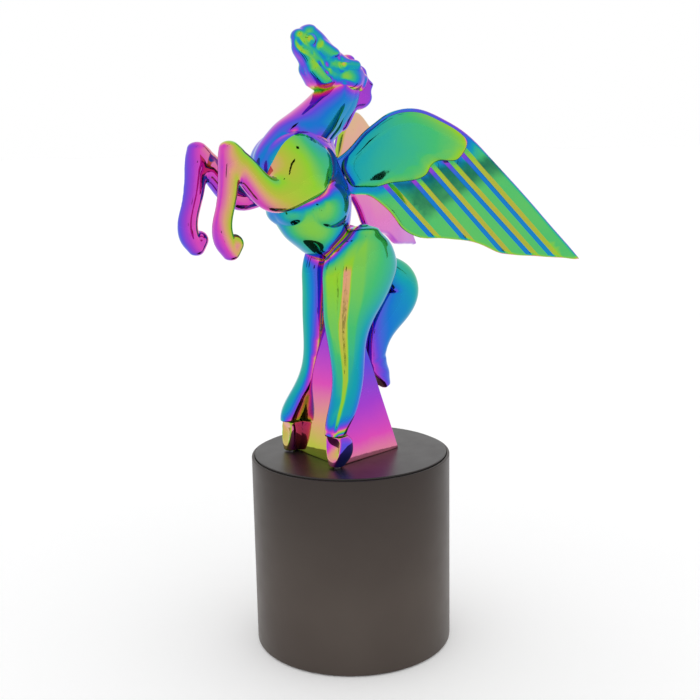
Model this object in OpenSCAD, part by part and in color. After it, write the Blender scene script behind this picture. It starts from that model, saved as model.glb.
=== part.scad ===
// Hood ornament: a rearing winged horse on a round display drum.
// Millimetres. Origin at the middle of the underside, +Z up, horse faces -X, its left is -Y.
// Figure heights below are heights above the floor for the standard drum; lift() moves them.

/* [Drum] */
// Outside diameter of the drum
drum_diameter = 90; // [88:1:110]
// Height of the drum from the floor to its deck
drum_height = 88; // [70:1:120]
// Wall thickness of the drum
drum_wall = 3; // [2:0.5:5]
// Thickness of the drum deck
deck_thickness = 6; // [5:0.5:10]
// Rounding of the drum's top and bottom edges
edge_round = 1; // [0.5:0.1:1.5]
// Width of the drum rim left showing around the disc
rim_width = 1.5; // [1:0.1:3]
// Height of the disc above the deck
disc_proud = 0.7; // [0.4:0.1:1.5]
// Thickness of the disc
disc_thickness = 3; // [2:0.5:4]

/* [Underside] */
// Thickness of the felt pad
felt_thickness = 2; // [1:0.5:3]
// Thickness of the base plate
plate_thickness = 3; // [2:0.5:5]
// Radius of the circle the plate screws sit on
screw_circle = 34; // [30:1:36]
// Thread diameter of the plate screws
screw_diameter = 4; // [3:0.5:5]

/* [Fixings] */
// Diameter of the tie rod
rod_diameter = 6; // [5:0.5:7]
// Height the tie rod reaches to, for the standard drum
rod_top = 146; // [130:1:148]
// Diameter of the casting dowels
dowel_diameter = 3; // [2.5:0.1:3.5]
// Diameter of the wing studs
stud_diameter = 2.4; // [2:0.1:2.6]

/* [Pedestal] */
// Half width of the pedestal's front edge at the disc
ped_front = 17.5; // [15:0.5:19]
// Half width of its back edge at the disc
ped_back = 11.5; // [10:0.5:14]
// Distance from its middle to the front and back edges
ped_depth = 19; // [16:0.5:21]

/* [Wings] */
// Angle the wings sweep away from the centre plane
wing_sweep = 33; // [31:0.5:35]
// Outward lean of the wings
wing_lean = 5.8; // [4:0.2:8]
// Thickness of the wing blade
wing_thickness = 3.2; // [2.6:0.2:4]
// Width of the grooves between the flight feathers
groove_width = 4; // [3:0.2:5]
// Depth of those grooves
groove_depth = 1.8; // [1:0.1:2.2]
// Height of the shoulder panel above the blade
covert_height = 2.8; // [2:0.1:3.6]

/* [Output] */
// Which piece to draw

/* [Hidden] */
$fa = 6;
$fs = 0.8;
drum_r = drum_diameter / 2;
disc_r = drum_r - rim_width;
disc_top = drum_height + disc_proud;
disc_low = disc_top - disc_thickness;
deck_low = drum_height - deck_thickness;
bore_r = drum_r - drum_wall;
plate_top = felt_thickness + plate_thickness;
boss_r = screw_diameter / 2 + 3;
rise = disc_top - 88.7;
pin_r = dowel_diameter / 2;
hoof_spot = [-20.5, -17.3];
nut_across = rod_diameter * 1.7;
torso_play = 0.04;

// ---------- shaping helpers ----------
function unit(v) = v / norm(v);
function spot(s) = [s[0], s[1], s[2]];
function blend(S, i, t) = let (n = len(S) - 1, p = S[max(i - 1, 0)], q = S[i],
    r = S[min(i + 1, n)], s = S[min(i + 2, n)])
    0.5 * (2 * q + (r - p) * t + (2 * p - 5 * q + 4 * r - s) * t * t
    + (3 * q - p - 3 * r + s) * t * t * t);
function fine(S, k) = [for (i = [0:len(S) - 2]) for (j = [0:k - 1]) blend(S, i, j / k),
    S[len(S) - 1]];
function gap(a, b) = abs(((a - b + 540) % 360) - 180);
function total(v, i = 0) = i >= len(v) ? 0 : v[i] + total(v, i + 1);
function swell(t, R) = 1 + total([for (r = R) r[1] * max(0, 1 - gap(t, r[0]) / r[2])]);

// Solid skinned over stations [x, y, z, half depth, half width].
// R holds sharp ridges [angle round the ring, height as a share of the radius, spread].
module skin(S, k = 3, n = 20, R = [], level = false) {
    F = fine(S, k);
    m = len(F);
    pts = [for (i = [0:m - 1])
        let (c = spot(F[i]), T = level ? [0, 0, sign(F[m - 1][2] - F[0][2])]
            : unit(spot(F[min(i + 1, m - 1)]) - spot(F[max(i - 1, 0)])),
            L = unit([0, 1, 0] - T * T[1]), D = cross(T, L))
        for (j = [0:n - 1]) let (t = j * 360 / n, w = swell(t, R))
            c - D * (F[i][3] * w * cos(t)) - L * (F[i][4] * w * sin(t))];
    faces = concat(
        [for (i = [0:m - 2]) for (j = [0:n - 1]) let (a = i * n + j, b = i * n + (j + 1) % n)
            each [[a, b, b + n], [a, b + n, a + n]]],
        [for (j = [1:n - 2]) [0, j + 1, j]],
        [for (j = [1:n - 2]) [(m - 1) * n, (m - 1) * n + j, (m - 1) * n + j + 1]]);
    polyhedron(points = pts, faces = faces, convexity = 6);
}
module lift() translate([0, 0, rise]) children();
module cast() resize([0, 0, 0]) children();
module other_side() mirror([0, 1, 0]) children();
module both_sides() { children(); other_side() children(); }
module rod_x(x0, x1, y, z, r) translate([x0, y, z]) rotate([0, 90, 0]) cylinder(r = r, h = x1 - x0);
module rod_y(x, y0, y1, z, r) translate([x, y1, z]) rotate([90, 0, 0]) cylinder(r = r, h = y1 - y0);
module rod_z(x, y, z0, z1, r) translate([x, y, z0]) cylinder(r = r, h = z1 - z0);

// ---------- raw casting shapes (left side for paired pieces) ----------
module pedestal_raw(top = 181) {
    z0 = 88.7;
    f = (184 - top) / (184 - z0);
    x0 = -ped_depth; x1 = ped_depth; a = -8;
    polyhedron(points = [[x0, -ped_front, z0], [x1, -ped_back, z0], [x1, ped_back, z0],
        [x0, ped_front, z0], [a + (x0 - a) * f, -ped_front * f, top], [a + (x1 - a) * f, -ped_back * f, top],
        [a + (x1 - a) * f, ped_back * f, top], [a + (x0 - a) * f, ped_front * f, top]],
        faces = [[0, 1, 2, 3], [7, 6, 5, 4], [0, 4, 5, 1], [1, 5, 6, 2], [2, 6, 7, 3], [3, 7, 4, 0]]);
}
module torso_raw() skin([[-12.5, 0, 177.5, 2, 2], [-12.6, 0, 178.5, 6, 5], [-12.8, 0, 181, 9.5, 8.5],
    [-15, 0, 186, 14, 11], [-18.5, 0, 195, 18.2, 13], [-21, 0, 203.5, 20.8, 13.4],
    [-24.6, 0, 211, 20.6, 13.5], [-26.6, 0, 217, 18.8, 13.4], [-27, 0, 222, 17.6, 12.9],
    [-27.4, 0, 226.5, 15.4, 11.6], [-28, 0, 230.4, 11.2, 9], [-28.3, 0, 232.8, 6.4, 5.4],
    [-28.4, 0, 233.8, 2, 2]], n = 24, R = [[0, 0.1, 50]], level = true);
module neck_raw() skin([[-27.4, 0, 222, 15, 11], [-26.4, 0, 228, 15.6, 10.6], [-20.5, 0, 234.5, 15.5, 9.8],
    [-14.5, 0, 240, 13.5, 8.8], [-9, 0, 244.5, 12, 8.2], [-5, 0, 248.5, 10, 7.5],
    [-3, 0, 252.5, 8, 6.5]], n = 24, R = [[0, 0.35, 45]], level = true);
module head_raw() skin([[9.3, 0, 251.3, 1.5, 1.5], [8.3, 0, 251.7, 4, 4.5], [6, 0, 252.5, 6, 6.6],
    [2, 0, 253.8, 7.6, 8.2], [-2.5, 0, 254.8, 8.8, 8.6], [-7.6, 0, 256.4, 9.6, 8],
    [-11.6, 0, 259, 9.2, 6.8], [-15, 0, 262.4, 8.2, 6], [-17.8, 0, 266.6, 7.6, 5.7],
    [-20.2, 0, 270.2, 6.4, 5.2], [-21.8, 0, 272.8, 4, 3.8], [-22.6, 0, 274, 1.2, 1.2]],
    n = 24, R = [[60, 0.08, 40], [300, 0.08, 40]]);
module mane_flat() polygon([[-4, 256], [-2, 262], [0, 263.2], [2, 263.4], [3.8, 262.6], [4.9, 261.2],
    [7, 260.2], [9, 258.2], [10.6, 256.4], [11.2, 254.2], [13.4, 252.6], [14.4, 251], [13.4, 249.2],
    [13.4, 246.6], [12.8, 243.6], [10.6, 241.6], [7.6, 240.4], [4.6, 239.6], [2, 237], [-1, 234],
    [-6, 236], [-5, 246]]);
module mane_raw() rotate([90, 0, 0]) {
    translate([0, 0, -3.6]) linear_extrude(7.2) mane_flat();
    translate([0, 0, -4.4]) linear_extrude(8.8) offset(delta = -0.9) mane_flat();
}
module foreleg_raw() {
    skin([[-17, -11.2, 217, 1.8, 1.8], [-18.5, -11.5, 217, 6.5, 4.6], [-23, -12, 216.5, 10, 6.2],
        [-28, -12.7, 214.5, 10.8, 7], [-34, -13.2, 210.5, 9.4, 6.6], [-40, -13.4, 207, 7.6, 6],
        [-46, -13.4, 206, 7, 5.4], [-51, -13.3, 208.3, 6.2, 5], [-55.5, -13.1, 212.6, 5.6, 4.8],
        [-60, -12.8, 217.6, 5.4, 4.7], [-63.5, -12.6, 221, 4.9, 4.4], [-66, -12.5, 223, 2, 2]]);
    skin([[-65.3, -12.5, 227.2, 1.5, 1.5], [-65.3, -12.5, 225.8, 3.8, 3.8],
        [-65.6, -12.5, 222, 4.3, 4.5], [-66.2, -12.7, 215, 4.1, 4.2], [-67.3, -13, 207, 4, 3.9],
        [-69, -13.3, 200, 3.9, 3.7], [-70, -13.6, 194.5, 4.4, 4.1], [-68.8, -13.7, 190.5, 5.2, 4.4],
        [-66.6, -13.8, 186.5, 4, 3.7], [-65.5, -13.8, 183.4, 2.8, 2.7], [-65, -13.8, 181.8, 1.2, 1.2]],
        R = [[0, 0.1, 54]]);
}
module hindleg_raw() skin([[3, -7.6, 190.8, 2, 2], [2.6, -7.8, 190, 6.5, 4.6],
    [1.8, -8.2, 186.5, 12.5, 7.4], [1.4, -8.6, 180, 17.2, 8.5], [1.2, -8.7, 173, 18.8, 8.6],
    [-0.2, -8.6, 165, 17.6, 8.4], [-2.7, -8.6, 157, 15, 8], [-5, -8.7, 151, 12.4, 7.5],
    [-6.8, -9.2, 144, 9.6, 6.9], [-8, -10.3, 134, 7.6, 6.1], [-9.3, -11.8, 126, 7.2, 5.7],
    [-12.7, -14, 118, 6.9, 5.4], [-18, -16.5, 109.5, 6, 4.9], [-20.7, -17.2, 104, 4.6, 4.3],
    [-21, -17.3, 102.6, 4.2, 4], [-20.4, -17.3, 100.5, 5, 4.6], [-19.8, -17.3, 96, 5.6, 4.8],
    [-19.9, -17.3, 92, 4.8, 4.2], [-20.4, -17.3, 88.7, 3, 2.8]], n = 20, k = 2,
    R = [[36, 0.05, 54]], level = true);
module tail_raw() difference() {
    skin([[11, 0, 170, 2, 2], [13, 0, 170.5, 5, 4.6], [19, 0, 170, 6.4, 5.6], [25.5, 0, 167.4, 7.4, 6],
        [30.5, 0, 164, 8, 6], [32.2, 0, 158.8, 8, 6], [29.6, 0, 153.4, 7.8, 5.8],
        [24.4, 0, 148.4, 7.2, 5.5], [19.6, 0, 143.2, 6.4, 5.2], [16.2, 0, 137.2, 5.6, 4.8],
        [14.8, 0, 131, 5.4, 4.6], [15.2, 0, 125, 5.8, 4.8], [17.4, 0, 119, 5.2, 4.4],
        [18.2, 0, 114.5, 3, 3]], n = 20, k = 2);
    translate([8, 0, 127.4]) rotate([0, 48, 0]) translate([-10, -20, -30]) cube([60, 40, 30]);
}

// ---------- wings: flat blade, sharp grooves, raised shoulder panel ----------
module wing_place() translate([0, -4.5, 210]) rotate([0, 0, -wing_sweep])
    rotate([90 + wing_lean, 0, 0]) children();
blade_line = [[-9.5, 8], [0, 15], [5, 20.5], [10, 24.5], [15, 28], [20, 29.8], [25, 30.4], [30, 29.8],
    [35, 28], [40, 25.5], [45, 22.7], [50, 19.2], [60, 9.5], [70, -1], [80, -11.8], [90, -23],
    [100, -34], [102.5, -36.8], [92, -36], [81, -35], [70, -34], [66, -33.3], [60, -30.5],
    [53, -27.8], [45, -26.6], [38, -25.9], [32, -25.8], [27, -24.3], [22, -21], [18, -15.5],
    [12, -9.5], [6, -6], [-1.5, -5], [-4, -1.5], [-7, 3]];
covert_line = [[0, -2], [5, -2.5], [10, -2.7], [15, -1.5], [20, -0.8], [25, -0.3], [30, 0.8], [33, 3],
    [34.5, 6], [37, 7.8], [42, 8], [46, 8.5], [48, 10.5], [49.5, 13], [50, 17], [49, 18.2], [45, 21.3],
    [40, 24], [35, 26.5], [30, 28.3], [25, 28.9], [20, 28.3], [15, 26.5], [10, 23], [5, 19], [0, 13.6],
    [-4, 8.5], [-4, 5], [-2, 1]];
groove_lines = [[16.8, -3, 36.5, -25.2], [28.5, -0.5, 51.5, -27], [35, 5, 68.3, -32.8],
    [42.8, 7, 80.8, -34.4], [49.3, 11, 91, -35.3]];
module groove(g) {
    run = norm([g[2] - g[0], g[3] - g[1]]);
    translate([g[0], g[1], 0]) rotate([0, 0, atan2(g[3] - g[1], g[2] - g[0])]) rotate([90, 0, 90])
        translate([0, 0, -6]) linear_extrude(run + 1)
        polygon([[-groove_width / 2, 0.01], [-groove_width / 2, 1], [groove_width / 2, 1],
            [groove_width / 2, 0.01], [0, -groove_depth]]);
}
module wing_raw() intersection() {
    wing_place() difference() {
        translate([0, 0, -wing_thickness]) linear_extrude(wing_thickness) polygon(blade_line);
        for (g = groove_lines) groove(g);
    }
    translate([-60, -120, 120]) cube([200, 120, 160]);
}
module covert_raw() {
    mid = [27, 14];
    step = [[1, 0], [0.985, 0.5], [0.95, 0.8], [0.85, 0.92], [0.65, 0.98], [0.35, 1]];
    n = len(covert_line);
    pts = [for (s = step) for (p = covert_line) let (q = mid + (p - mid) * s[0])
        [q[0], q[1], covert_height * s[1]]];
    m = len(step);
    intersection() {
        wing_place() polyhedron(points = pts, faces = concat([[for (j = [0:n - 1]) j]],
            [[for (j = [n - 1:-1:0]) (m - 1) * n + j]],
            [for (i = [0:m - 2]) for (j = [0:n - 1]) let (a = i * n + j, b = i * n + (j + 1) % n)
                each [[a, a + n, b + n], [a, b + n, b]]]), convexity = 4);
        translate([-60, -120, 120]) cube([200, 120, 160]);
    }
}

// ---------- hidden fixings ----------
module neck_pin(play = 0) rod_z(-18, 0, 220, 239, pin_r + play);
module head_pin() rod_z(-3, 0, 243, 256, pin_r);
module shoulder_pin(play = 0) rod_y(-27, -17, -7, 214, pin_r + play);
module hip_pin(play = 0) rod_x(-15, 5, -7, 185, pin_r + play);
module tail_pin() rod_y(15, -8.5, 8.5, 170.5, pin_r);
module wing_pin(play = 0) rod_x(-14, 1.6, -3.1, 211.8, stud_diameter / 2 + play);
module hoof_pin() rod_z(hoof_spot[0], hoof_spot[1], 88.7 - deck_thickness + 1, 95, pin_r);
module tie() rod_z(0, 0, 88.7 - deck_thickness - disc_proud - 12, rod_top, rod_diameter / 2);

// ---------- pieces ----------
module base_drum() color("dimgray") difference() {
    union() {
        rotate_extrude($fn = 120) polygon(concat([[0, deck_low], [bore_r, deck_low], [bore_r, 0.3],
            [drum_r - edge_round, 0.3]],
            [for (t = [-75:15:0]) [drum_r - edge_round + edge_round * cos(t), 0.3 + edge_round + edge_round * sin(t)]],
            [for (t = [0:15:90]) [drum_r - edge_round / 2 + edge_round / 2 * cos(t),
                drum_height - edge_round / 2 + edge_round / 2 * sin(t)]],
            [[disc_r + 0.15, drum_height], [disc_r + 0.15, disc_low], [0, disc_low]]));
        for (a = [0, 120, 240]) rotate([0, 0, a]) {
            rod_z(screw_circle, 0, plate_top, deck_low + 1, boss_r);
            translate([screw_circle, -boss_r, plate_top])
                cube([bore_r - screw_circle + 0.5, boss_r * 2, deck_low + 1 - plate_top]);
        }
    }
    for (a = [0, 120, 240]) rotate([0, 0, a]) rod_z(screw_circle, 0, plate_top - 1, 18, screw_diameter / 2);
    for (y = [-30, 30]) rod_z(0, y, deck_low + 1, disc_low + 1, 1.5);
    both_sides() lift() hoof_pin();
    rod_z(0, 0, deck_low - 1, disc_low + 1, rod_diameter / 2);
}
module top_disc() color("gray") difference() {
    rotate_extrude($fn = 120) polygon([[0, disc_low], [disc_r, disc_low],
        [disc_r, disc_top - 0.4], [disc_r - 0.4, disc_top], [0, disc_top]]);
    for (y = [-30, 30]) rod_z(0, y, disc_low - 1, disc_low + 1.2, 1.5);
    both_sides() lift() hoof_pin();
    rod_z(0, 0, disc_low - 1, disc_top + 1, rod_diameter / 2);
}
module base_plate() color("silver") difference() {
    rod_z(0, 0, felt_thickness, plate_top, bore_r - 0.2, $fn = 96);
    for (a = [0, 120, 240]) rotate([0, 0, a]) translate([screw_circle, 0, 0]) {
        translate([0, 0, felt_thickness - 1]) cylinder(d = screw_diameter, h = plate_thickness + 2);
        translate([0, 0, felt_thickness]) cylinder(d1 = screw_diameter * 1.9, d2 = screw_diameter, h = 1.8);
    }
}
module felt_pad() color("darkslategray") rod_z(0, 0, 0, felt_thickness, bore_r - 0.6, $fn = 96);
module plate_screws() color("silver") for (a = [0, 120, 240]) rotate([0, 0, a])
    translate([screw_circle, 0, felt_thickness]) difference() {
        rotate_extrude() polygon([[0, 0], [screw_diameter * 0.95, 0], [screw_diameter / 2, 1.8],
            [screw_diameter / 2, 18 - felt_thickness], [0, 18 - felt_thickness]]);
        translate([0, 0, -1]) cylinder(d = screw_diameter * 0.5, h = 2.2, $fn = 6);
    }
module disc_pins() color("silver") for (y = [-30, 30]) rod_z(0, y, deck_low + 1, disc_low + 1.2, 1.5);
module hoof_pins() color("silver") lift() both_sides() hoof_pin();
module tie_rod() color("silver") lift() tie();
module tie_washer() color("silver") difference() {
    rod_z(0, 0, deck_low - 1.6, deck_low, rod_diameter);
    rod_z(0, 0, deck_low - 3, deck_low + 1, rod_diameter / 2);
}
module tie_nut() color("silver") difference() {
    rod_z(0, 0, deck_low - 1.6 - rod_diameter * 0.8, deck_low - 1.6, nut_across / sqrt(3), $fn = 6);
    rod_z(0, 0, deck_low - 20, deck_low + 1, rod_diameter / 2);
}
module pedestal() color("mediumorchid") lift() difference() {
    pedestal_raw();
    tie();
}
module torso() color("deepskyblue") lift() cast() difference() {
    torso_raw();
    pedestal_raw();
    neck_pin(torso_play);
    both_sides() { shoulder_pin(torso_play); hip_pin(torso_play); wing_pin(torso_play); }
}
module neck() color("royalblue") lift() difference() {
    cast() difference() { neck_raw(); torso_raw(); head_raw(); mane_raw(); }
    neck_pin();
    head_pin();
}
module head() color("turquoise") lift() difference() {
    cast() difference() { head_raw(); mane_raw(); }
    head_pin();
}
module mane() color("orchid") lift() mane_raw();
module foreleg() color("yellowgreen") lift() difference() {
    cast() difference() { foreleg_raw(); torso_raw(); neck_raw(); }
    shoulder_pin();
}
module hindleg() color("limegreen") lift() difference() {
    cast() difference() {
        hindleg_raw();
        torso_raw();
        pedestal_raw();
        translate([-60, 0, 80]) cube(140);
    }
    hip_pin();
    tail_pin();
    hoof_pin();
}
module tail() color("dodgerblue") lift() difference() {
    cast() difference() { tail_raw(); hindleg_raw(); other_side() hindleg_raw(); }
    tail_pin();
}
module wing() color("mediumseagreen") lift() difference() {
    cast() difference() { wing_raw(); torso_raw(); }
    wing_pin();
}
module covert() color("greenyellow") lift() difference() {
    cast() difference() { covert_raw(); torso_raw(); foreleg_raw(); }
    wing_pin();
}
module foreleg_left() foreleg();
module foreleg_right() other_side() foreleg();
module hindleg_left() hindleg();
module hindleg_right() other_side() hindleg();
module wing_left() wing();
module wing_right() other_side() wing();
module covert_left() covert();
module covert_right() other_side() covert();
module neck_dowel() color("silver") lift() neck_pin();
module head_dowel() color("silver") lift() head_pin();
module shoulder_dowels() color("silver") lift() both_sides() shoulder_pin();
module hip_dowels() color("silver") lift() both_sides() hip_pin();
module tail_dowel() color("silver") lift() tail_pin();
module wing_studs() color("silver") lift() both_sides() wing_pin();

base_drum();
top_disc();
base_plate();
felt_pad();
plate_screws();
disc_pins();
hoof_pins();
tie_rod();
tie_washer();
tie_nut();
pedestal();
torso();
neck();
head();
mane();
foreleg_left();
foreleg_right();
hindleg_left();
hindleg_right();
tail();
wing_left();
wing_right();
covert_left();
covert_right();
neck_dowel();
head_dowel();
shoulder_dowels();
hip_dowels();
tail_dowel();
wing_studs();
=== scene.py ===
"""Rearing winged horse on a display drum: the looks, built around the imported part."""
import math
import bpy
import numpy as np
from mathutils import Matrix, Vector
from mathutils.bvhtree import BVHTree
from mathutils.geometry import delaunay_2d_cdt
from mathutils.kdtree import KDTree


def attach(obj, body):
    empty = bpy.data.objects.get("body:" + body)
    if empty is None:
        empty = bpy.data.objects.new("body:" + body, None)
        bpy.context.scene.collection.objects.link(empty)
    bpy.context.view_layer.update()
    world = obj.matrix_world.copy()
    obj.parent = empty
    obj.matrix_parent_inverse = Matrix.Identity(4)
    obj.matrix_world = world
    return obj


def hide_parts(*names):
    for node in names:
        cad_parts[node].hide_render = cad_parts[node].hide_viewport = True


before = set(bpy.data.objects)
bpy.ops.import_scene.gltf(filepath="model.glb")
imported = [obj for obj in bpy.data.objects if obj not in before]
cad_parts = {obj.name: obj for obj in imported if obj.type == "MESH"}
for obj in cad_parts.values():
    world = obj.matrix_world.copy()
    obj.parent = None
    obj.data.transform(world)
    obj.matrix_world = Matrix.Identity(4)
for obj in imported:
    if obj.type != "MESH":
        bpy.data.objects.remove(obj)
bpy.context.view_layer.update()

# ---------------------------------------------------------------- shaping tools (millimetres)
# name -> dict(verts, faces, sharp, flat, nodes, mat, film), later also the marks fold, edge and the wing's
# painted-reflection mark
PIECES = {}
DISC_TOP = 88.7      # height of the disc that the hooves and the pedestal stand on
DOME_RINGS = 8      # rings that round off each end of a skinned tube


def natural(t, y, q):
    """Natural cubic spline through (t, y), read at q."""
    n = len(t)
    h = np.diff(t)
    A = np.zeros((n, n))
    r = np.zeros((n, y.shape[1]))
    A[0, 0] = A[-1, -1] = 1
    for i in range(1, n - 1):
        A[i, i - 1], A[i, i], A[i, i + 1] = h[i - 1], 2 * (h[i - 1] + h[i]), h[i]
        r[i] = 6 * ((y[i + 1] - y[i]) / h[i] - (y[i] - y[i - 1]) / h[i - 1])
    m = np.linalg.solve(A, r)
    i = np.clip(np.searchsorted(t, q) - 1, 0, n - 2)
    a, b = (t[i + 1] - q)[:, None], (q - t[i])[:, None]
    hi = h[i][:, None]
    return (m[i] * a ** 3 + m[i + 1] * b ** 3) / (6 * hi) + (y[i] / hi - m[i] * hi / 6) * a \
        + (y[i + 1] / hi - m[i + 1] * hi / 6) * b


def table(rows, q):
    """Smooth values at q from rows whose first column is the key."""
    R = np.array(rows, float)
    return natural(R[:, 0], R[:, 1:], np.asarray(q, float))


def smoothstep(a, b, x):
    t = np.clip((x - a) / (b - a), 0, 1)
    return t * t * (3 - 2 * t)


def smax(a, b, k):
    """Larger of two lengths, filleted where they differ by less than k."""
    return np.maximum(a, b) + np.clip(k - np.abs(a - b), 0, None) ** 2 / (4 * k)


def unit(v):
    return v / np.maximum(np.linalg.norm(v, axis=-1, keepdims=True), 1e-12)


def grid_faces(m, n):
    """Faces between m closed rings of n points."""
    return [(i * n + j, i * n + (j + 1) % n, (i + 1) * n + (j + 1) % n, (i + 1) * n + j)
            for i in range(m - 1) for j in range(n)]


def shell_faces(m, n):
    """Faces between the rings, with both ends closed."""
    return grid_faces(m, n) + [tuple(range(n - 1, -1, -1)), tuple(range((m - 1) * n, m * n))]


def volume(V, faces):
    tris = np.array([(f[0], f[i], f[i + 1]) for f in faces for i in range(1, len(f) - 1)])
    return np.sum(V[tris[:, 0]] * np.cross(V[tris[:, 1]], V[tris[:, 2]])) / 6


def add(name, verts, faces, nodes=(), mat="plating", sharp=(), flat=False, film=None, **marks):
    """Keeps a closed piece with its faces outwards, and the CAD nodes that it stands for."""
    V = np.asarray(verts, float)
    if volume(V, faces) < 0:
        faces = [tuple(reversed(f)) for f in faces]
    PIECES[name] = dict(verts=V, faces=faces, sharp=list(sharp), nodes=tuple(nodes), mat=mat,
                        flat=flat, film=film or name, **marks)


def add_pair(part, kind, verts, faces, node=None, **more):
    """A left-hand piece and its mirror image, each standing for its own CAD node."""
    left, right = part + "_left_" + kind, part + "_right_" + kind
    add(left, verts, faces, [(node or part) + "_left"], film=part, **more)
    p = PIECES[left]
    PIECES[right] = dict(p, verts=p["verts"] * np.array([1, -1, 1]), film=part + "_far",
                         faces=[tuple(reversed(f)) for f in p["faces"]], nodes=((node or part) + "_right",))


def skin(rows, step, n, power, dome, ridges=(), facets=()):
    """Skins a tube that runs down over level sections [x, y, z, front, back, out, in].

    front/back/out/in are the four radii of each section. ridges are (angle, heights, spread), with
    one height for each row. dome rounds off the two ends by that many times the end's mean radius.
    facets are (angle, shares) cuts: nothing reaches past that share of the reach at that angle.
    The first ridge's crest is returned as sharp edges."""
    R = np.array(rows, float)
    t = np.concatenate([[0], np.cumsum(np.linalg.norm(np.diff(R[:, :3], axis=0), axis=1))])
    q = np.linspace(0, t[-1], max(8, int(round(t[-1] / step))) + 1)
    F = natural(t, np.column_stack([R] + [np.array(heights) for _, heights, _ in ridges]), q)
    steps = [math.radians(90 * k / DOME_RINGS) for k in range(DOME_RINGS + 1)]
    rings = [(0, dome[0] * math.sin(s), max(math.cos(s), 0.03)) for s in steps[:0:-1]]
    rings += [(i, 0.0, 1.0) for i in range(len(F))]
    rings += [(len(F) - 1, -dome[1] * math.sin(s), max(math.cos(s), 0.03)) for s in steps[1:]]
    th = np.radians(np.arange(n) * 360.0 / n + (ridges[0][0] if ridges else 0.0))
    c, s = np.cos(th), np.sin(th)
    e = 2.0 / power
    cc, ss = np.sign(c) * np.abs(c) ** e, np.sign(s) * np.abs(s) ** e
    out = []
    for i, rise, k in rings:
        w = np.ones(n)
        for j, (angle, _, spread) in enumerate(ridges):
            g = np.abs((np.degrees(th) - angle + 540) % 360 - 180)
            w += F[i, 7 + j] * np.clip(1 - g / spread, 0, 1) ** 2
        a = cc * np.where(c > 0, F[i, 3], F[i, 4]) * w * k
        b = ss * np.where(s > 0, F[i, 5], F[i, 6]) * w * k
        for angle, shares in facets:
            share = np.interp(i / (len(F) - 1), np.linspace(0, 1, len(shares)), shares)
            ca, sa = math.cos(math.radians(angle)), math.sin(math.radians(angle))
            reach = a * ca + b * sa
            over = np.clip(reach - share * reach.max(), 0, None)
            a, b = a - over * ca, b - over * sa
        z = F[i, 2] + rise * F[i, 3:7].mean()
        out.append(np.column_stack([F[i, 0] - a, F[i, 1] - b, np.full(n, z)]))
    crest = [i for i in range(len(F) - 1) if ridges and F[i, 7] > 0.012]
    sharp = [((i + DOME_RINGS) * n, (i + DOME_RINGS + 1) * n) for i in crest]
    return np.vstack(out), shell_faces(len(rings), n), sharp


def tube_field(rows, power=2.0, dome=(1.0, 1.0), ridge=None, step=0.8):
    """Signed depth of points under the tube over rows [x, y, z, front, back, out, in]."""
    R = np.array(rows, float)
    t = np.concatenate([[0], np.cumsum(np.linalg.norm(np.diff(R[:, :3], axis=0), axis=1))])
    full = np.column_stack([R, ridge[1] if ridge else np.zeros(len(R))])
    q = np.linspace(0, t[-1], max(8, int(t[-1] / step)))
    F = natural(t, full, q)
    T = unit(np.gradient(F[:, :3], q, axis=0))
    L = unit(np.array([0.0, 1.0, 0.0]) - T * T[:, 1:2])
    D = np.cross(T, L)
    ds = q[1] - q[0]

    def field(Q):
        near = np.argmin(((Q[:, None, :] - F[None, :, :3]) ** 2).sum(-1), axis=1)
        along = np.einsum("ij,ij->i", Q - F[near, :3], T[near])
        u = np.clip(near + along / ds, 0, len(q) - 1)
        i = np.minimum(u.astype(int), len(q) - 2)
        w = (u - i)[:, None]
        G = F[i] * (1 - w) + F[i + 1] * w
        Ti = unit(T[i] * (1 - w) + T[i + 1] * w)
        Li = unit(L[i] * (1 - w) + L[i + 1] * w)
        Di = unit(D[i] * (1 - w) + D[i + 1] * w)
        rel = Q - G[:, :3]
        a, b = -np.einsum("ij,ij->i", rel, Di), -np.einsum("ij,ij->i", rel, Li)
        over = np.einsum("ij,ij->i", rel, Ti)
        mean = G[:, 3:7].mean(axis=1)
        ra, rb = np.where(a > 0, G[:, 3], G[:, 4]), np.where(b > 0, G[:, 5], G[:, 6])
        rho = (np.abs(a / ra) ** power + np.abs(b / rb) ** power) ** (1 / power)
        if ridge:
            g = np.abs((np.degrees(np.arctan2(b / rb, a / ra)) - ridge[0] + 540) % 360 - 180)
            rho = rho / (1 + G[:, 7] * np.clip(1 - g / ridge[2], 0, 1) ** 2)
        end = np.where(u <= 0, dome[0], np.where(u >= len(q) - 1, dome[1], 1e9))
        return (np.sqrt(rho ** 2 + (over / (end * mean)) ** 2) - 1) * mean
    return field


def smin(a, b, k):
    """Union of two depths with a fillet about k wide."""
    return np.minimum(a, b) - np.clip(k - np.abs(a - b), 0, None) ** 2 / (4 * k)


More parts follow.
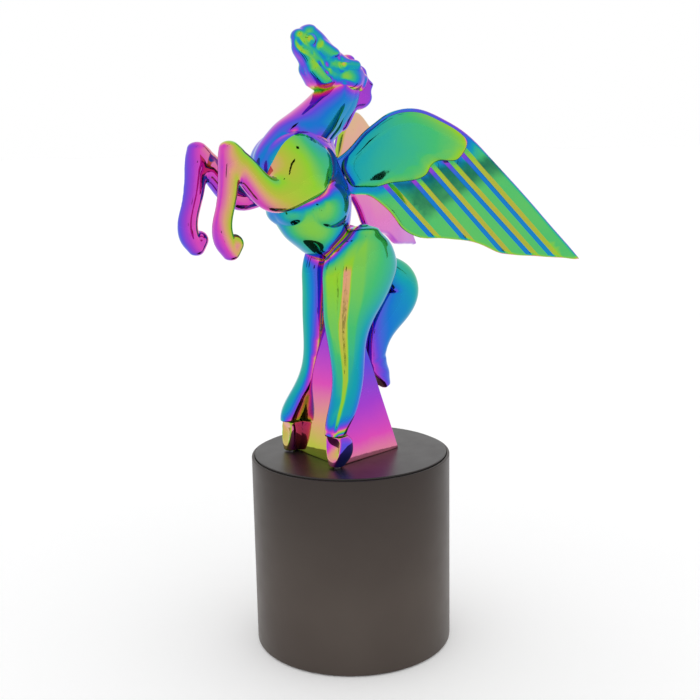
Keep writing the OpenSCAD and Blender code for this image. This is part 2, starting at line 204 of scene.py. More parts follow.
def net(field, lo, hi, h):
    """Closed mesh of the surface where field is zero, one vertex per crossed cell of size h."""
    ax = [np.arange(a, b + h, h) for a, b in zip(lo, hi)]
    X = np.stack(np.meshgrid(*ax, indexing="ij"), -1)
    flat = X.reshape(-1, 3)
    G = np.concatenate([field(c) for c in np.array_split(flat, 1 + len(flat) // 60000)]).reshape(X.shape[:3])
    S = G < 0
    m = np.array(G.shape) - 1
    corner = [(i, j, k) for i in (0, 1) for j in (0, 1) for k in (0, 1)]
    count = sum(S[i:i + m[0], j:j + m[1], k:k + m[2]].astype(int) for i, j, k in corner)
    act = (count > 0) & (count < 8)
    idx = -np.ones(act.shape, int)
    idx[act] = np.arange(act.sum())
    cell = np.argwhere(act)
    total, hits = np.zeros((len(cell), 3)), np.zeros(len(cell))
    for a in corner:
        for k in range(3):
            if a[k]:
                continue
            b = tuple(1 if n == k else a[n] for n in range(3))
            ga = G[tuple((cell + a).T)]
            gb = G[tuple((cell + b).T)]
            cross = (ga < 0) != (gb < 0)
            t = np.where(cross, ga / np.where(cross, ga - gb, 1), 0)
            p = cell + np.array(a) + t[:, None] * (np.array(b) - np.array(a))
            total[cross] += p[cross]
            hits[cross] += 1
    P = np.array(lo) + h * total / hits[:, None]
    F = []
    for k in range(3):
        i, j = (k + 1) % 3, (k + 2) % 3
        A = np.take(S, range(0, S.shape[k] - 1), axis=k)
        B = np.take(S, range(1, S.shape[k]), axis=k)
        for e in np.argwhere(A != B):
            if e[i] < 1 or e[j] < 1 or e[i] >= m[i] or e[j] >= m[j]:
                continue
            q = []
            for di, dj in ((-1, -1), (0, -1), (0, 0), (-1, 0)):
                c = e.copy()
                c[i] += di
                c[j] += dj
                q.append(int(idx[tuple(c)]))
            F.append(tuple(q) if A[tuple(e)] else tuple(reversed(q)))
    for _ in range(4):
        f0 = field(P)
        g = np.stack([(field(P + d) - field(P - d)) / 0.04 for d in np.eye(3) * 0.02], -1)
        P = P - g * np.clip(f0 / np.maximum((g ** 2).sum(-1), 0.2), -0.4 * h, 0.4 * h)[:, None]
    return P, F


# ---------------------------------------------------------------- body: barrel, chest and neck
# height, front x, back x, half width, x of widest point
BODY = [[177.2, -14.0, -10.5, 2.6, -12.3], [178.6, -18.2, -7.0, 6.0, -12.6],
        [182, -24.0, -3.6, 9.0, -13.4], [186.5, -29.9, -1.6, 11.0, -15.6],
        [191, -33.6, -0.4, 12.2, -17.5], [197, -37.6, 0.6, 13.0, -19.6], [204, -42.2, 0.6, 13.4, -21.2],
        [211, -45.0, -2.2, 13.5, -23.4], [217, -45.6, -5.4, 13.3, -25.4], [222, -45.1, -7.2, 12.8, -25.6],
        [227.5, -41.7, -6.2, 11.6, -24.4], [231.5, -38.0, -1.2, 10.6, -21.8],
        [235.5, -33.2, 2.2, 9.8, -18.2], [238.5, -28.2, 4.8, 9.2, -15.0], [241.5, -23.3, 7.2, 8.8, -11.6],
        [245, -18.2, 8.6, 8.3, -8.0], [248, -14.4, 9.2, 7.9, -5.2], [252, -9.4, 9.4, 7.3, -2.2]]
# height, x and half width of the hard edge down each side of the neck
EDGE = [[177.2, -11.2, 1.6], [200, -3.5, 6.0], [216, -9.0, 6.4], [224, -12.4, 6.3], [227.5, -13.0, 6.2],
        [231, -9.8, 6.1], [236.6, -5.0, 6.0], [241, -1.4, 6.0], [245, 1.0, 5.9], [248, 1.8, 5.8],
        [252, 2.4, 5.6]]


# the finished radii by height and turn, which body_field reads
BODY_TABLE = {}


def body_field(Q):
    """Signed depth under the body casting, from its level sections."""
    z, R = BODY_TABLE["z"], BODY_TABLE["r"]
    zi = np.interp(Q[:, 2], z, np.arange(len(z)))
    i = np.minimum(zi.astype(int), len(z) - 2)
    w = zi - i
    xm = np.interp(Q[:, 2], z, BODY_TABLE["xm"])
    dx, dy = Q[:, 0] - xm, Q[:, 1]
    a = (np.degrees(np.arctan2(dy, dx)) + 180) / 2
    j = np.minimum(a.astype(int), R.shape[1] - 2)
    v = a - j
    rad = (R[i, j] * (1 - v) + R[i, j + 1] * v) * (1 - w) + (R[i + 1, j] * (1 - v) + R[i + 1, j + 1] * v) * w
    return (np.hypot(dx, dy) - rad) * 0.85 + np.clip(z[0] - Q[:, 2], 0, None)


def build_body():
    nz, na, nb, nc = 250, 34, 22, 16
    z = np.concatenate([np.linspace(177.2, 182, 24)[:-1], np.linspace(182, 252, nz)])
    B, E = table(BODY, z), table(EDGE, z)
    V = []
    for i, zz in enumerate(z):
        xf, xb, b, xm = B[i]
        xe, ye = E[i]
        w = smoothstep(224.2, 228.4, zz)
        # front quarter, from the breast to the side
        u = np.linspace(0, math.pi / 2, na + 1)
        fx, fy = xm - (xm - xf) * np.cos(u), b * np.sin(u)
        # side to hard edge
        e_ang = math.acos(np.clip((xe - xm) / max(xb - xm, 1e-6), 0.05, 0.95))
        v = np.linspace(math.pi / 2, e_ang, nb + 1)[1:]
        sx, sy = xm + (xb - xm) * np.cos(v), b * np.sin(v)
        s = np.linspace(0, 1, nb + 1)[1:]
        hx = xm + (xe - xm) * s
        hy = b + (ye - b) * s ** 1.7
        sx, sy = sx * (1 - w) + hx * w, sy * (1 - w) + hy * w
        # hard edge to crest
        v = np.linspace(e_ang, 0, nc + 1)[1:]
        cx, cy = xm + (xb - xm) * np.cos(v), b * np.sin(v)
        s = np.linspace(0, 1, nc + 1)[1:]
        kx = xe + (xb - xe) * np.sin(s * math.pi / 2) ** 1.1
        ky = ye * np.cos(s * math.pi / 2) ** 0.9
        kx = 0.55 * kx + 0.45 * (xe + (xb - xe) * s)
        ky = 0.55 * ky + 0.45 * ye * (1 - s)
        cx, cy = cx * (1 - w) + kx * w, cy * (1 - w) + ky * w
        x = np.concatenate([fx, sx, cx])
        y = np.concatenate([fy, sy, cy])
        V.append(np.column_stack([np.concatenate([x, x[-2:0:-1]]),
                                  np.concatenate([-y, y[-2:0:-1]]), np.full(2 * len(x) - 2, zz)]))
    V = np.array(V)
    m, n = V.shape[:2]
    centre = np.column_stack([B[:, 3], np.zeros(m)])
    C = np.repeat(centre[:, None, :], n, axis=1)
    d = V[:, :, :2] - C
    r = np.linalg.norm(d, axis=2)
    dirv = d / np.maximum(r, 1e-6)[:, :, None]
    Z = V[:, :, 2]

    def swell(r, c, radii, k):
        """Grows the radius out to an ellipsoid on each side, with a fillet."""
        for side in (-1, 1):
            cx, cy, cz = c[0], side * c[1], c[2]
            ox, oy, oz = C[:, :, 0] - cx, -cy, Z - cz
            dx, dy = dirv[:, :, 0], dirv[:, :, 1]
            A = (dx / radii[0]) ** 2 + (dy / radii[1]) ** 2
            Bq = 2 * (ox * dx / radii[0] ** 2 + oy * dy / radii[1] ** 2)
            Cq = (ox / radii[0]) ** 2 + (oy / radii[1]) ** 2 + (oz / radii[2]) ** 2 - 1
            disc = Bq * Bq - 4 * A * Cq
            far = np.where(disc > 0, (-Bq + np.sqrt(np.maximum(disc, 0))) / (2 * A), -50.0)
            r = smax(r, far, k(C[:, :, 0] + dirv[:, :, 0] * r) if callable(k) else k)
        return r

    # shoulder mass, sharp at the withers and soft towards the breast
    r = swell(r, (-27.0, 7.6, 217.0), (15.8, 8.6, 14.2), lambda x: 0.5 + 5.0 * smoothstep(-21, -33, x))
    # ribs
    r = swell(r, (-16.8, 7.3, 200.6), (11.8, 9.0, 11.0), 0.5)
    r = swell(r, (-31.0, 3.4, 199.0), (7.0, 7.6, 6.4), 1.4)
    V[:, :, :2] = C + dirv * r[:, :, None]
    turn = np.arctan2(dirv[:, :, 1], dirv[:, :, 0])
    around = np.radians(np.arange(0, 361, 2) - 180.0)
    BODY_TABLE["z"], BODY_TABLE["xm"] = z, B[:, 3]
    BODY_TABLE["r"] = np.array([np.interp(around, turn[i], r[i], period=2 * math.pi) for i in range(m)])
    edge = na + nb
    sharp = [(i * n + j, (i + 1) * n + j) for i in range(m - 1) if z[i] > 226.5 for j in (edge, n - edge)]
    add("body_casting", V.reshape(-1, 3), shell_faces(m, n), ["torso", "neck"], sharp=sharp, film="body")


build_body()

# ---------------------------------------------------------------- head
# rows run from poll to muzzle: x, y, z, brow side, jaw side, half width, half width
SKULL = [[6.8, 0, 252.2, 4.6, 5.4, 6.2, 6.2], [4.0, 0, 253.4, 6.3, 6.4, 7.3, 7.3],
         [0.5, 0, 254.9, 6.9, 6.9, 7.8, 7.8], [-4.5, 0, 257.2, 6.7, 6.8, 7.2, 7.2],
         [-9.5, 0, 260.3, 6.9, 6.2, 6.2, 6.2], [-13.5, 0, 263.8, 6.9, 5.8, 5.6, 5.6],
         [-17.0, 0, 267.4, 6.6, 5.6, 5.3, 5.3], [-19.4, 0, 270.2, 5.6, 5.0, 4.8, 4.8]]
JAW = [[2.2, 0, 250.4, 4.0, 4.4, 5.8, 5.8], [-3.5, 0, 251.6, 5.0, 5.6, 7.4, 7.4],
       [-9.0, 0, 253.6, 5.4, 6.6, 7.5, 7.5], [-14.2, 0, 257.0, 5.0, 6.2, 6.6, 6.6],
       [-18.4, 0, 262.2, 4.2, 4.1, 5.4, 5.4], [-21.4, 0, 266.6, 3.8, 4.4, 5.0, 5.0],
       [-22.6, 0, 269.6, 3.0, 3.2, 4.2, 4.2]]


def ball(c, radii):
    """Signed depth under an ellipsoid."""
    c, radii = np.array(c, float), np.array(radii, float)
    return lambda Q: (np.linalg.norm((Q - c) / radii, axis=1) - 1) * radii.min()


def bar(a, b, r):
    """Signed depth under a round-ended bar."""
    a, b = np.array(a, float), np.array(b, float)

    def field(Q):
        t = np.clip((Q - a) @ (b - a) / ((b - a) @ (b - a)), 0, 1)
        return np.linalg.norm(Q - a - t[:, None] * (b - a), axis=1) - r
    return field


def build_head():
    skull, jaw = tube_field(SKULL, 2.3, (0.7, 0.75), step=0.5), tube_field(JAW, 2.2, (0.8, 0.9), step=0.5)
    # bulges on the near side: jowl, temple, cheekbone, jaw, muzzle
    lumps = [(ball((-0.6, -5.0, 252.8), (6.6, 4.2, 4.8)), 0.9),
             (bar((2.0, -5.4, 258.2), (-4.5, -5.6, 258.4), 2.7), 0.8),
             (bar((-8.8, -3.9, 262.4), (-14.6, -3.0, 266.0), 3.6), 0.5),
             (bar((-16.6, -2.6, 257.0), (-12.6, -3.9, 252.4), 4.1), 1.0),
             (bar((-21.2, -1.6, 264.6), (-18.6, -1.6, 260.6), 2.9), 0.8),
             (ball((-20.0, -3.0, 268.0), (3.1, 3.3, 3.1)), 0.5)]
    seam = [(-26.0, -3.0, 267.4), (-23.8, -5.2, 264.4), (-20.1, -6.5, 262.6), (-16.3, -7.3, 259.5),
            (-13.4, -8.2, 255.8), (-11.0, -8.8, 253.4), (-6.0, -9.2, 251.0), (-1.0, -10.2, 249.4)]
    brow = [(-12.6, -7.2, 258.7), (-9.6, -8.2, 260.2), (-6.4, -8.0, 261.4), (-2.5, -8.2, 261.4)]
    throat = [(-15.0, -5.6, 248.0), (-9.5, -9.0, 249.2), (-3.0, -10.4, 247.6)]
    creases = ((seam, 1.45, 0.8), (brow, 1.5, 1.0), (throat, 1.9, 1.2))
    cuts = [(bar(a, b, r), k) for line, r, k in creases for a, b in zip(line, line[1:])]
    # jaw dimple, groove above the muzzle, nostril
    cuts += [(ball((-10.6, -8.9, 254.6), (1.1, 1.4, 1.0)), 0.4),
             (bar((-17.2, -6.9, 266.0), (-15.6, -6.2, 269.8), 1.0), 0.6),
             (ball((-20.6, -6.6, 266.4), (1.3, 0.9, 1.6)), 0.4)]

    def field(Q):
        Q = np.column_stack([Q[:, 0], -np.abs(Q[:, 1]), Q[:, 2]])
        f = smin(skull(Q), jaw(Q), 0.9)
        for lump, k in lumps:
            f = smin(f, lump(Q), k)
        for hole, k in cuts:
            f = -smin(-f, hole(Q), k)
        return f
    V, F = net(field, (-30, -11.2, 240), (13, 11.2, 280), 0.56)
    add("head_casting", V, F, ["head"], film="head")


build_head()

# ---------------------------------------------------------------- mane plate
MANE = [[-4, 256], [-3.2, 260], [-1.6, 262.3], [0.6, 263.3], [2.6, 263.2], [4.2, 262], [5.0, 260.4],
        [6.6, 259.6], [9, 258.6], [10.6, 256.8], [11.2, 254.6], [12.8, 253], [14.3, 251.2], [13.8, 249.6],
        [13.2, 248], [13.5, 246.2], [13.0, 243.8], [11.2, 241.8], [8.2, 240.5], [5.2, 239.8],
        [3.4, 237.6], [1.2, 234.2], [-2.5, 231.0], [-6, 232], [-6, 240], [-5, 248]]


def outline(points, per=6):
    """Closed smooth outline through the points."""
    P = np.array(points, float)
    n = len(P)
    pad = np.vstack([P[-4:], P, P[:5]])
    t = np.concatenate([[0], np.cumsum(np.linalg.norm(np.diff(pad, axis=0), axis=1))])
    q = []
    for i in range(4, 4 + n):
        q += list(np.linspace(t[i], t[i + 1], per, endpoint=False))
    return natural(t, pad, np.array(q))


def inset(P, d):
    """Moves a closed outline inwards by d."""
    nx = np.roll(P, -1, axis=0) - np.roll(P, 1, axis=0)
    nrm = unit(np.column_stack([nx[:, 1], -nx[:, 0]]))
    area = 0.5 * np.sum(P[:, 0] * np.roll(P[:, 1], -1) - np.roll(P[:, 0], -1) * P[:, 1])
    return P - nrm * d * np.sign(area)


def build_mane():
    P = outline(MANE, 5)
    # how far in and how high, from the plate's edge to its near face
    rim = [(0, 0), (0.05, 1.3), (0.3, 2.5), (0.8, 3.4), (1.4, 3.9), (2.3, 4.1)]
    rings = [(d, -h) for d, h in rim[:0:-1]] + rim
    V = []
    for d, h in rings:
        x, z = inset(P, d).T
        V.append(np.column_stack([x, np.full(len(P), -h), z]))
    add("mane_casting", np.vstack(V), shell_faces(len(rings), len(P)), ["mane"], film="mane")


build_mane()

# ---------------------------------------------------------------- forelegs
UPPER = [[-17.4, -11.3, 217.2, 4.6, 4.4, 2.8, 2.8], [-19.6, -11.6, 217, 7.6, 7.4, 4.9, 4.9],
         [-23, -12, 216.6, 9.7, 9.5, 6.3, 6.0], [-28, -12.6, 214.5, 10.9, 10.6, 7.2, 6.6],
         [-34, -13.1, 210.6, 9.3, 9.3, 6.8, 6.2], [-40, -13.3, 207.1, 7.6, 7.6, 6.1, 5.8],
         [-46, -13.3, 206.1, 7.0, 6.9, 5.5, 5.3], [-51, -13.2, 208.4, 6.2, 6.2, 5.0, 4.9],
         [-55.5, -13.0, 212.7, 5.6, 5.6, 4.8, 4.7], [-60, -12.8, 217.6, 5.3, 5.3, 4.6, 4.6],
         [-63.3, -12.6, 221.0, 4.8, 4.8, 4.3, 4.3]]
CANNON = [[-65.4, -12.5, 224.8, 4.0, 3.9, 4.1, 4.1], [-65.7, -12.5, 221, 4.3, 4.3, 4.4, 4.4],
          [-66.3, -12.7, 215, 4.1, 4.1, 4.1, 4.1], [-67.3, -13.0, 208, 3.9, 3.9, 3.8, 3.8],
          [-69.2, -13.3, 200.5, 3.7, 3.6, 3.5, 3.5], [-70.4, -13.5, 195.5, 4.0, 3.7, 3.9, 3.9],
          [-70.4, -13.7, 192.0, 4.2, 3.8, 4.2, 4.2], [-69.6, -13.8, 189.0, 4.3, 3.8, 4.2, 4.2],
          [-68.5, -13.8, 186.4, 3.7, 3.4, 3.8, 3.8], [-67.4, -13.8, 184.3, 2.8, 2.8, 2.8, 2.8]]


def build_foreleg():
    upper = tube_field(UPPER, 2.15, (0.4, 0.7))
    ridge = [0.05, 0.13, 0.17, 0.17, 0.16, 0.12, 0.08, 0.04, 0.02, 0.0]
    cannon = tube_field(CANNON, 2.1, (0.75, 0.6), ridge=(28, ridge, 62))
    heel = ball((-65.9, -13.8, 188.1), (3.9, 4.3, 3.9))
    toe = ball((-67.0, -13.8, 184.9), (3.3, 3.4, 3.3))

    def limb(Q):
        leg = smin(upper(Q), cannon(Q), 2.6)
        leg = smin(smin(leg, heel(Q), 0.5), toe(Q), 1.6)
        k = 0.3 + 6.0 * smoothstep(-19, -33, Q[:, 0]) * smoothstep(203, 212, Q[:, 2])
        return np.maximum(smin(leg, body_field(Q) + 0.15, k), leg - k - 0.8)
    V, F = net(limb, (-76, -23, 178), (-12, -3, 232), 0.62)
    add_pair("foreleg", "casting", V, F)


build_foreleg()

# ---------------------------------------------------------------- hind legs, level sections
# x, y, z, forward, rearward, outward, inward radii
HIND = [[3.5, -7.9, 191.0, 2.4, 2.4, 2.0, 2.0], [3.1, -8.0, 190.3, 5.4, 5.6, 4.5, 4.5],
        [2.4, -8.3, 188.6, 8.4, 8.4, 6.0, 5.8], [1.6, -8.5, 185.5, 12.6, 12.4, 7.5, 7.2],
        [0.6, -8.6, 180, 16.4, 17.4, 8.5, 8.2], [-0.6, -8.6, 173, 17.6, 20.4, 8.8, 8.3],
        [-2.4, -8.6, 165, 16.0, 19.6, 8.6, 8.2], [-4.6, -8.6, 157, 13.8, 16.6, 8.1, 7.8],
        [-6.4, -8.7, 151, 11.8, 13.4, 7.6, 7.4], [-7.6, -9.2, 144, 9.8, 10.0, 7.0, 6.8],
        [-8.4, -10.4, 134, 8.2, 7.8, 6.3, 6.0], [-9.6, -12.0, 126, 7.5, 7.1, 5.8, 5.6],
        [-12.9, -14.2, 118, 7.0, 6.8, 5.4, 5.2], [-18.0, -16.5, 109.5, 6.2, 6.2, 4.9, 4.8],
        [-20.4, -17.1, 105.0, 5.0, 5.0, 4.4, 4.4], [-21.0, -17.2, 103.2, 4.5, 4.7, 4.2, 4.2]]
HOOF = [[-20.6, -17.2, 102.6, 4.7, 5.2, 4.6, 4.4], [-20.0, -17.3, 101.0, 5.3, 6.2, 5.0, 4.6],
        [-19.8, -17.3, 98.4, 5.4, 6.8, 5.1, 4.7], [-20.0, -17.3, 95.4, 5.0, 7.0, 4.9, 4.5],
        [-20.4, -17.3, 92.2, 4.2, 5.8, 4.2, 4.0], [-20.8, -17.3, 89.7, 3.4, 3.6, 3.2, 3.2]]


def build_hindleg():
    # for each row of HIND: height of the shin's ridge, how much slimmer the front is, and how deep
    # the flats are cut on both sides of the ridge and on it
    ridge = [0] * 8 + [0.01, 0.02, 0.05, 0.09, 0.11, 0.12, 0.10, 0.08]
    slim = [0, 0, -0.03, -0.07, -0.11, -0.13, -0.13, -0.12, -0.10, -0.06, -0.03] + [0] * 5
    flank = [1, 0.99, 0.98, 0.975, 0.972, 0.97, 0.97, 0.97, 0.975, 0.98, 0.99] + [1] * 5
    crest = [1, 0.995, 0.99, 0.987, 0.986, 0.985, 0.985, 0.986, 0.985, 0.98, 0.97, 0.965, 0.965, 0.965,
             0.97, 0.98]
    V, F, sharp = skin(HIND, 0.7, 160, 2.2, (0.3, 0.05), ridges=[(56, ridge, 34), (40, slim, 62)],
                       facets=[(36, flank), (78, flank), (56, crest)])
    add_pair("hindleg", "casting", V, F, sharp=sharp)
    V, F, _ = skin(HOOF, 0.35, 72, 2.3, (0.12, 0.2))
    # hollow on the hoof's outer front, flat cut below it
    face = unit(np.array([-0.98, -0.14, 0.1]))
    depth = (V - np.array([-24.2, -17.6, 97.0])) @ face
    dent = np.exp(-((V[:, 2] - 97.6) / 4.6) ** 2)
    V = V - np.outer(np.clip(depth + 0.9, 0, None) * (0.5 + 1.1 * dent), face)
    V[:, 2] = np.maximum(V[:, 2], DISC_TOP + 0.02)
    add_pair("hoof", "casting", V, F, node="hindleg")


build_hindleg()

# ---------------------------------------------------------------- tail
TAIL = [[12.0, 0, 170.3, 4.0, 4.0, 4.0, 4.0], [19, 0, 170.2, 6.0, 6.2, 5.4, 5.4],
        [25.2, 0, 168.0, 7.4, 7.2, 5.9, 5.9], [30.2, 0, 164.0, 8.8, 7.9, 6.1, 6.1],
        [31.9, 0, 158.9, 10.4, 8.1, 6.1, 6.1], [29.6, 0, 153.6, 11.0, 7.8, 5.9, 5.9],
        [24.6, 0, 148.4, 10.4, 7.2, 5.6, 5.6], [19.8, 0, 143.2, 8.8, 6.4, 5.3, 5.3],
        [16.4, 0, 137.2, 6.8, 5.7, 4.9, 4.9], [14.9, 0, 131.0, 5.6, 5.5, 4.7, 4.7],
        [15.3, 0, 125.4, 5.9, 5.9, 4.9, 4.9], [17.0, 0, 120.2, 5.6, 5.6, 4.7, 4.7],
        [18.4, 0, 116.4, 4.6, 4.6, 4.0, 4.0]]


def build_tail():
    tube = tube_field(TAIL, 2.1, (0.6, 0.4))
    slant = unit(np.array([-0.74, 0.0, -0.67]))

    def field(Q):
        x, y, z = Q.T
        w = smoothstep(131.0, 129.0, z)           # tuft: waisted, then rippled
        band = 0.10 * np.exp(-((z - 0.35 * (x - 15) - 129.4) / 1.1) ** 2)
        g = 1 + w * 0.05 * np.sin((z + 0.45 * x) * 1.1) - band
        f = tube(np.column_stack([x, y / g, z]))
        cut = (Q - np.array([10.0, 0, 125.2])) @ slant
        return -smin(-f, -cut, 0.7)
    V, F = net(field, (5, -8, 108), (45, 8, 180), 0.66)
    add("tail_casting", V, F, ["tail"], film="tail")


build_tail()

# ---------------------------------------------------------------- wings
SWEEP, LEAN = math.radians(33), math.radians(5.8)
BLADE = [[-9.5, 8], [-4, 11.4], [0, 15], [5, 20.5], [10, 24.5], [15, 28], [20, 29.8], [25, 30.4],
         [30, 29.8], [35, 28], [40, 25.5], [45, 22.7], [50, 19.2], [60, 9.5], [70, -1], [80, -11.8],
         [90, -23], [100, -34], [102.3, -36.7], [101.4, -36.9], [97, -36.5], [92, -36], [86, -35.5],
         [81, -35], [75, -34.6], [70, -34], [66, -33.3], [60, -30.5], [53, -27.8], [45, -26.6],
         [38, -25.9], [32, -25.8], [27, -24.3], [22, -21], [18, -15.5], [12, -9.5], [6, -6], [-1.5, -5],
         [-4, -1.5], [-7, 3]]
COVERT = [[0, -2], [5, -2.6], [10, -2.7], [15, -1.5], [20, -0.8], [25, -0.3], [30, 0.8], [33, 3],
          [34.5, 6], [37, 7.8], [42, 8], [46, 8.5], [48, 10.5], [49.5, 13], [50, 16.6], [48.6, 18.4],
          [45, 21.3], [40, 24.1], [35, 26.6], [30, 28.5], [25, 29.1], [20, 28.5], [15, 26.6], [10, 23.2],
          [5, 19.1], [0, 13.6], [-4, 8.5], [-4.4, 5], [-2.4, 1]]
GROOVES = [[16.8, -3, 36.5, -25.2], [28.5, -0.5, 51.5, -27], [35, 5, 68.3, -32.8], [42.8, 7, 80.8, -34.4],
           [49.3, 11, 91, -35.3]]
GROOVE_WIDTH, GROOVE_DEPTH = 4.0, 1.2
BLADE_THICK = 3.0


def wing_space(P):
    """Wing coordinates (along, up, out) to the row frame, left wing."""
    u, v, w = P[:, 0], P[:, 1], P[:, 2]
    y1, z1 = -w * math.cos(LEAN) - v * math.sin(LEAN), v * math.cos(LEAN) - w * math.sin(LEAN)
    cs, sn = math.cos(SWEEP), math.sin(SWEEP)
    return np.column_stack([u * cs + y1 * sn, -u * sn + y1 * cs - 4.5, z1 + 210])


def dist_outline(Q, P):
    """Distance from points Q to the closed outline P, and whether each is inside."""
    A, B = P, np.roll(P, -1, axis=0)
    best = np.full(len(Q), 1e9)
    inside = np.zeros(len(Q), bool)
    for a, b in zip(A, B):
        ab = b - a
        t = np.clip(((Q - a) @ ab) / max(ab @ ab, 1e-9), 0, 1)
        d = np.linalg.norm(Q - (a + t[:, None] * ab), axis=1)
        best = np.minimum(best, d)
        cross = (a[1] > Q[:, 1]) != (b[1] > Q[:, 1])
        with np.errstate(divide="ignore", invalid="ignore"):
            xi = a[0] + (Q[:, 1] - a[1]) * ab[0] / ab[1]
        inside ^= cross & (Q[:, 0] < xi)
    return best, inside


def triangulate(border, lines, dots):
    """Triangles inside the border that respect every line; returns 2-D points and triangles."""
    pts, edges = [], []
    for loop, closed in [(border, True)] + lines:
        k = len(pts)
        pts += [tuple(p) for p in loop]
        edges += [(k + i, k + i + 1) for i in range(len(loop) - 1)]
        if closed:
            edges.append((k + len(loop) - 1, k))
    pts += [tuple(p) for p in dots]
    out = delaunay_2d_cdt([Vector(p) for p in pts], edges, [], 0, 1e-4, False)
    P = np.array([tuple(v) for v in out[0]])
    T = np.array([tuple(f) for f in out[2]])
    mid = P[T].mean(axis=1)
    _, inside = dist_outline(mid, np.array(border))
    T = T[inside]
    used = np.unique(T)
    back = -np.ones(len(P), int)
    back[used] = np.arange(len(used))
    P, T = P[used], back[T]
    a, b, c = P[T[:, 0]], P[T[:, 1]], P[T[:, 2]]
    area = (b[:, 0] - a[:, 0]) * (c[:, 1] - a[:, 1]) - (b[:, 1] - a[:, 1]) * (c[:, 0] - a[:, 0])
    T[area < 0] = T[area < 0][:, ::-1]
    return P, T


def soft_outline(points, corner=50.0, per=5):
    """Closed outline through the points, smooth except where it turns sharply."""
    P = np.array(points, float)
    n = len(P)
    d0 = unit(P - np.roll(P, 1, axis=0))
    d1 = unit(np.roll(P, -1, axis=0) - P)
    turn = np.degrees(np.arccos(np.clip(np.sum(d0 * d1, axis=1), -1, 1)))
    hard = [i for i in range(n) if turn[i] > corner]
    if not hard:
        return outline(points, per)
    out = []
    for k, i in enumerate(hard):
        j = hard[(k + 1) % len(hard)]
        run = (j - i) % n or n
        seg = P[[(i + s) % n for s in range(run + 1)]]
        t = np.concatenate([[0], np.cumsum(np.linalg.norm(np.diff(seg, axis=0), axis=1))])
        q = np.concatenate([np.linspace(t[s], t[s + 1], per, endpoint=False) for s in range(run)])
        out.append(natural(t, seg, q))
    return np.vstack(out)


def shrink(P, d):
    """Closed outline pulled in by d, keeping only points that stay d away from the outline."""
    Q = inset(P, d)
    dist, ins = dist_outline(Q, P)
    return Q[(dist > d * 0.93) & ins]


def build_wing():
    border = soft_outline(BLADE, 60, 5)
    lines = [(shrink(border, d), True) for d in (0.3, 0.75, 1.4)]
    marks = []
    for u0, v0, u1, v1 in GROOVES:
        g = unit(np.array([u1 - u0, v1 - v0]))
        side = np.array([-g[1], g[0]])
        run = math.hypot(u1 - u0, v1 - v0)
        a, b = np.array([u0, v0]) - g * 5, np.array([u0, v0]) + g * (run + 4)
        marks.append((np.array([u0, v0]), g, side, run))
        half = GROOVE_WIDTH / 2
        for c in (-half, -half + 0.35, -0.25, 0, 0.25, half - 0.35, half):
            lines.append((np.linspace(a + side * c, b + side * c, 24), False))
    gx, gy = np.meshgrid(np.arange(-8, 100, 2.2), np.arange(-35, 30, 2.2))
    dots = np.column_stack([gx.ravel(), gy.ravel()]) + 0.13
    dist, ins = dist_outline(dots, border)
    ok = ins & (dist > 2.0)
    for o, g, side, run in marks:
        c = np.abs((dots - o) @ side)
        s = (dots - o) @ g
        ok &= (c > GROOVE_WIDTH / 2 + 0.7) | (s < -5.6)
    P, T = triangulate(border, lines, dots[ok])
    dist, _ = dist_outline(P, border)

    def rolled(d, r):
        return r - np.sqrt(np.maximum(r * r - np.clip(r - d, 0, r) ** 2, 0))
    depth = np.zeros(len(P))
    for o, g, side, run in marks:
        c = np.abs((P - o) @ side)
        s = (P - o) @ g
        v = np.clip(1 - c / (GROOVE_WIDTH / 2), 0, 1) * smoothstep(-5.1, -1.0, s)
        depth = np.maximum(depth, GROOVE_DEPTH * v)
    # taper: the blade thins towards its tip and trailing edge
    taper = 1 - 0.25 * smoothstep(70, 100, P[:, 0])
    top = -rolled(dist, 0.75) * 0.9 - depth * smoothstep(-0.2, 1.6, dist) * taper
    low = -BLADE_THICK * taper + rolled(dist, 1.3)
    n = len(P)
    rim = {}
    for t in T:
        for i in range(3):
            e = (t[i], t[(i + 1) % 3])
            rim[e] = rim.get(e, 0) + 1
    edge = [e for e in rim if (e[1], e[0]) not in rim]
    V = np.vstack([np.column_stack([P, top]), np.column_stack([P, low])])
    F = [tuple(int(i) for i in t) for t in T] + [tuple(int(i) + n for i in t[::-1]) for t in T]
    F += [(int(a + n), int(b + n), int(b), int(a)) for a, b in edge]
    V = wing_space(V)
    # stays on its own side of the centre plane
    V[:, 1] = np.minimum(V[:, 1], -0.05)
    # the flat inner face keeps its own shading, apart from the rolled rim
    ring = (dist > 1.3) & (dist < 1.5)
    sharp = [(a + n, b + n) for a, b in rim
             if a < b and ring[a] and ring[b] and abs(dist[a] - dist[b]) < 0.06]
    # painted reflection: the feather flats darken towards the covert, more on the inner ones, standing in for
    # the dark thing the mirror-bright flats show there
    u, v = P.T
    below = np.interp(u, [0, 30, 34, 42, 60], [-2.6, 0.8, 6, 8, 10]) - v
    reach = np.interp(u, [8, 24, 36, 52, 68], [34, 32, 24, 16, 10])
    past_first = (u - 16.8) * 0.748 + (v + 3.0) * 0.664
    shade = smoothstep(0, 1.5, below) * (1 - smoothstep(reach - 7, reach, below))
    shade *= smoothstep(1.6, 2.4, past_first)
    shade *= depth < 0.05
    add_pair("wing", "blade", V, F, flat=26, sharp=sharp, shade=np.concatenate([shade, 0 * shade]))


build_wing()

COVERT_MID = np.array([26.0, 13.5])
COVERT_HIGH = 2.75
CROWN_RINGS = 21     # rings from the lip in to the crown


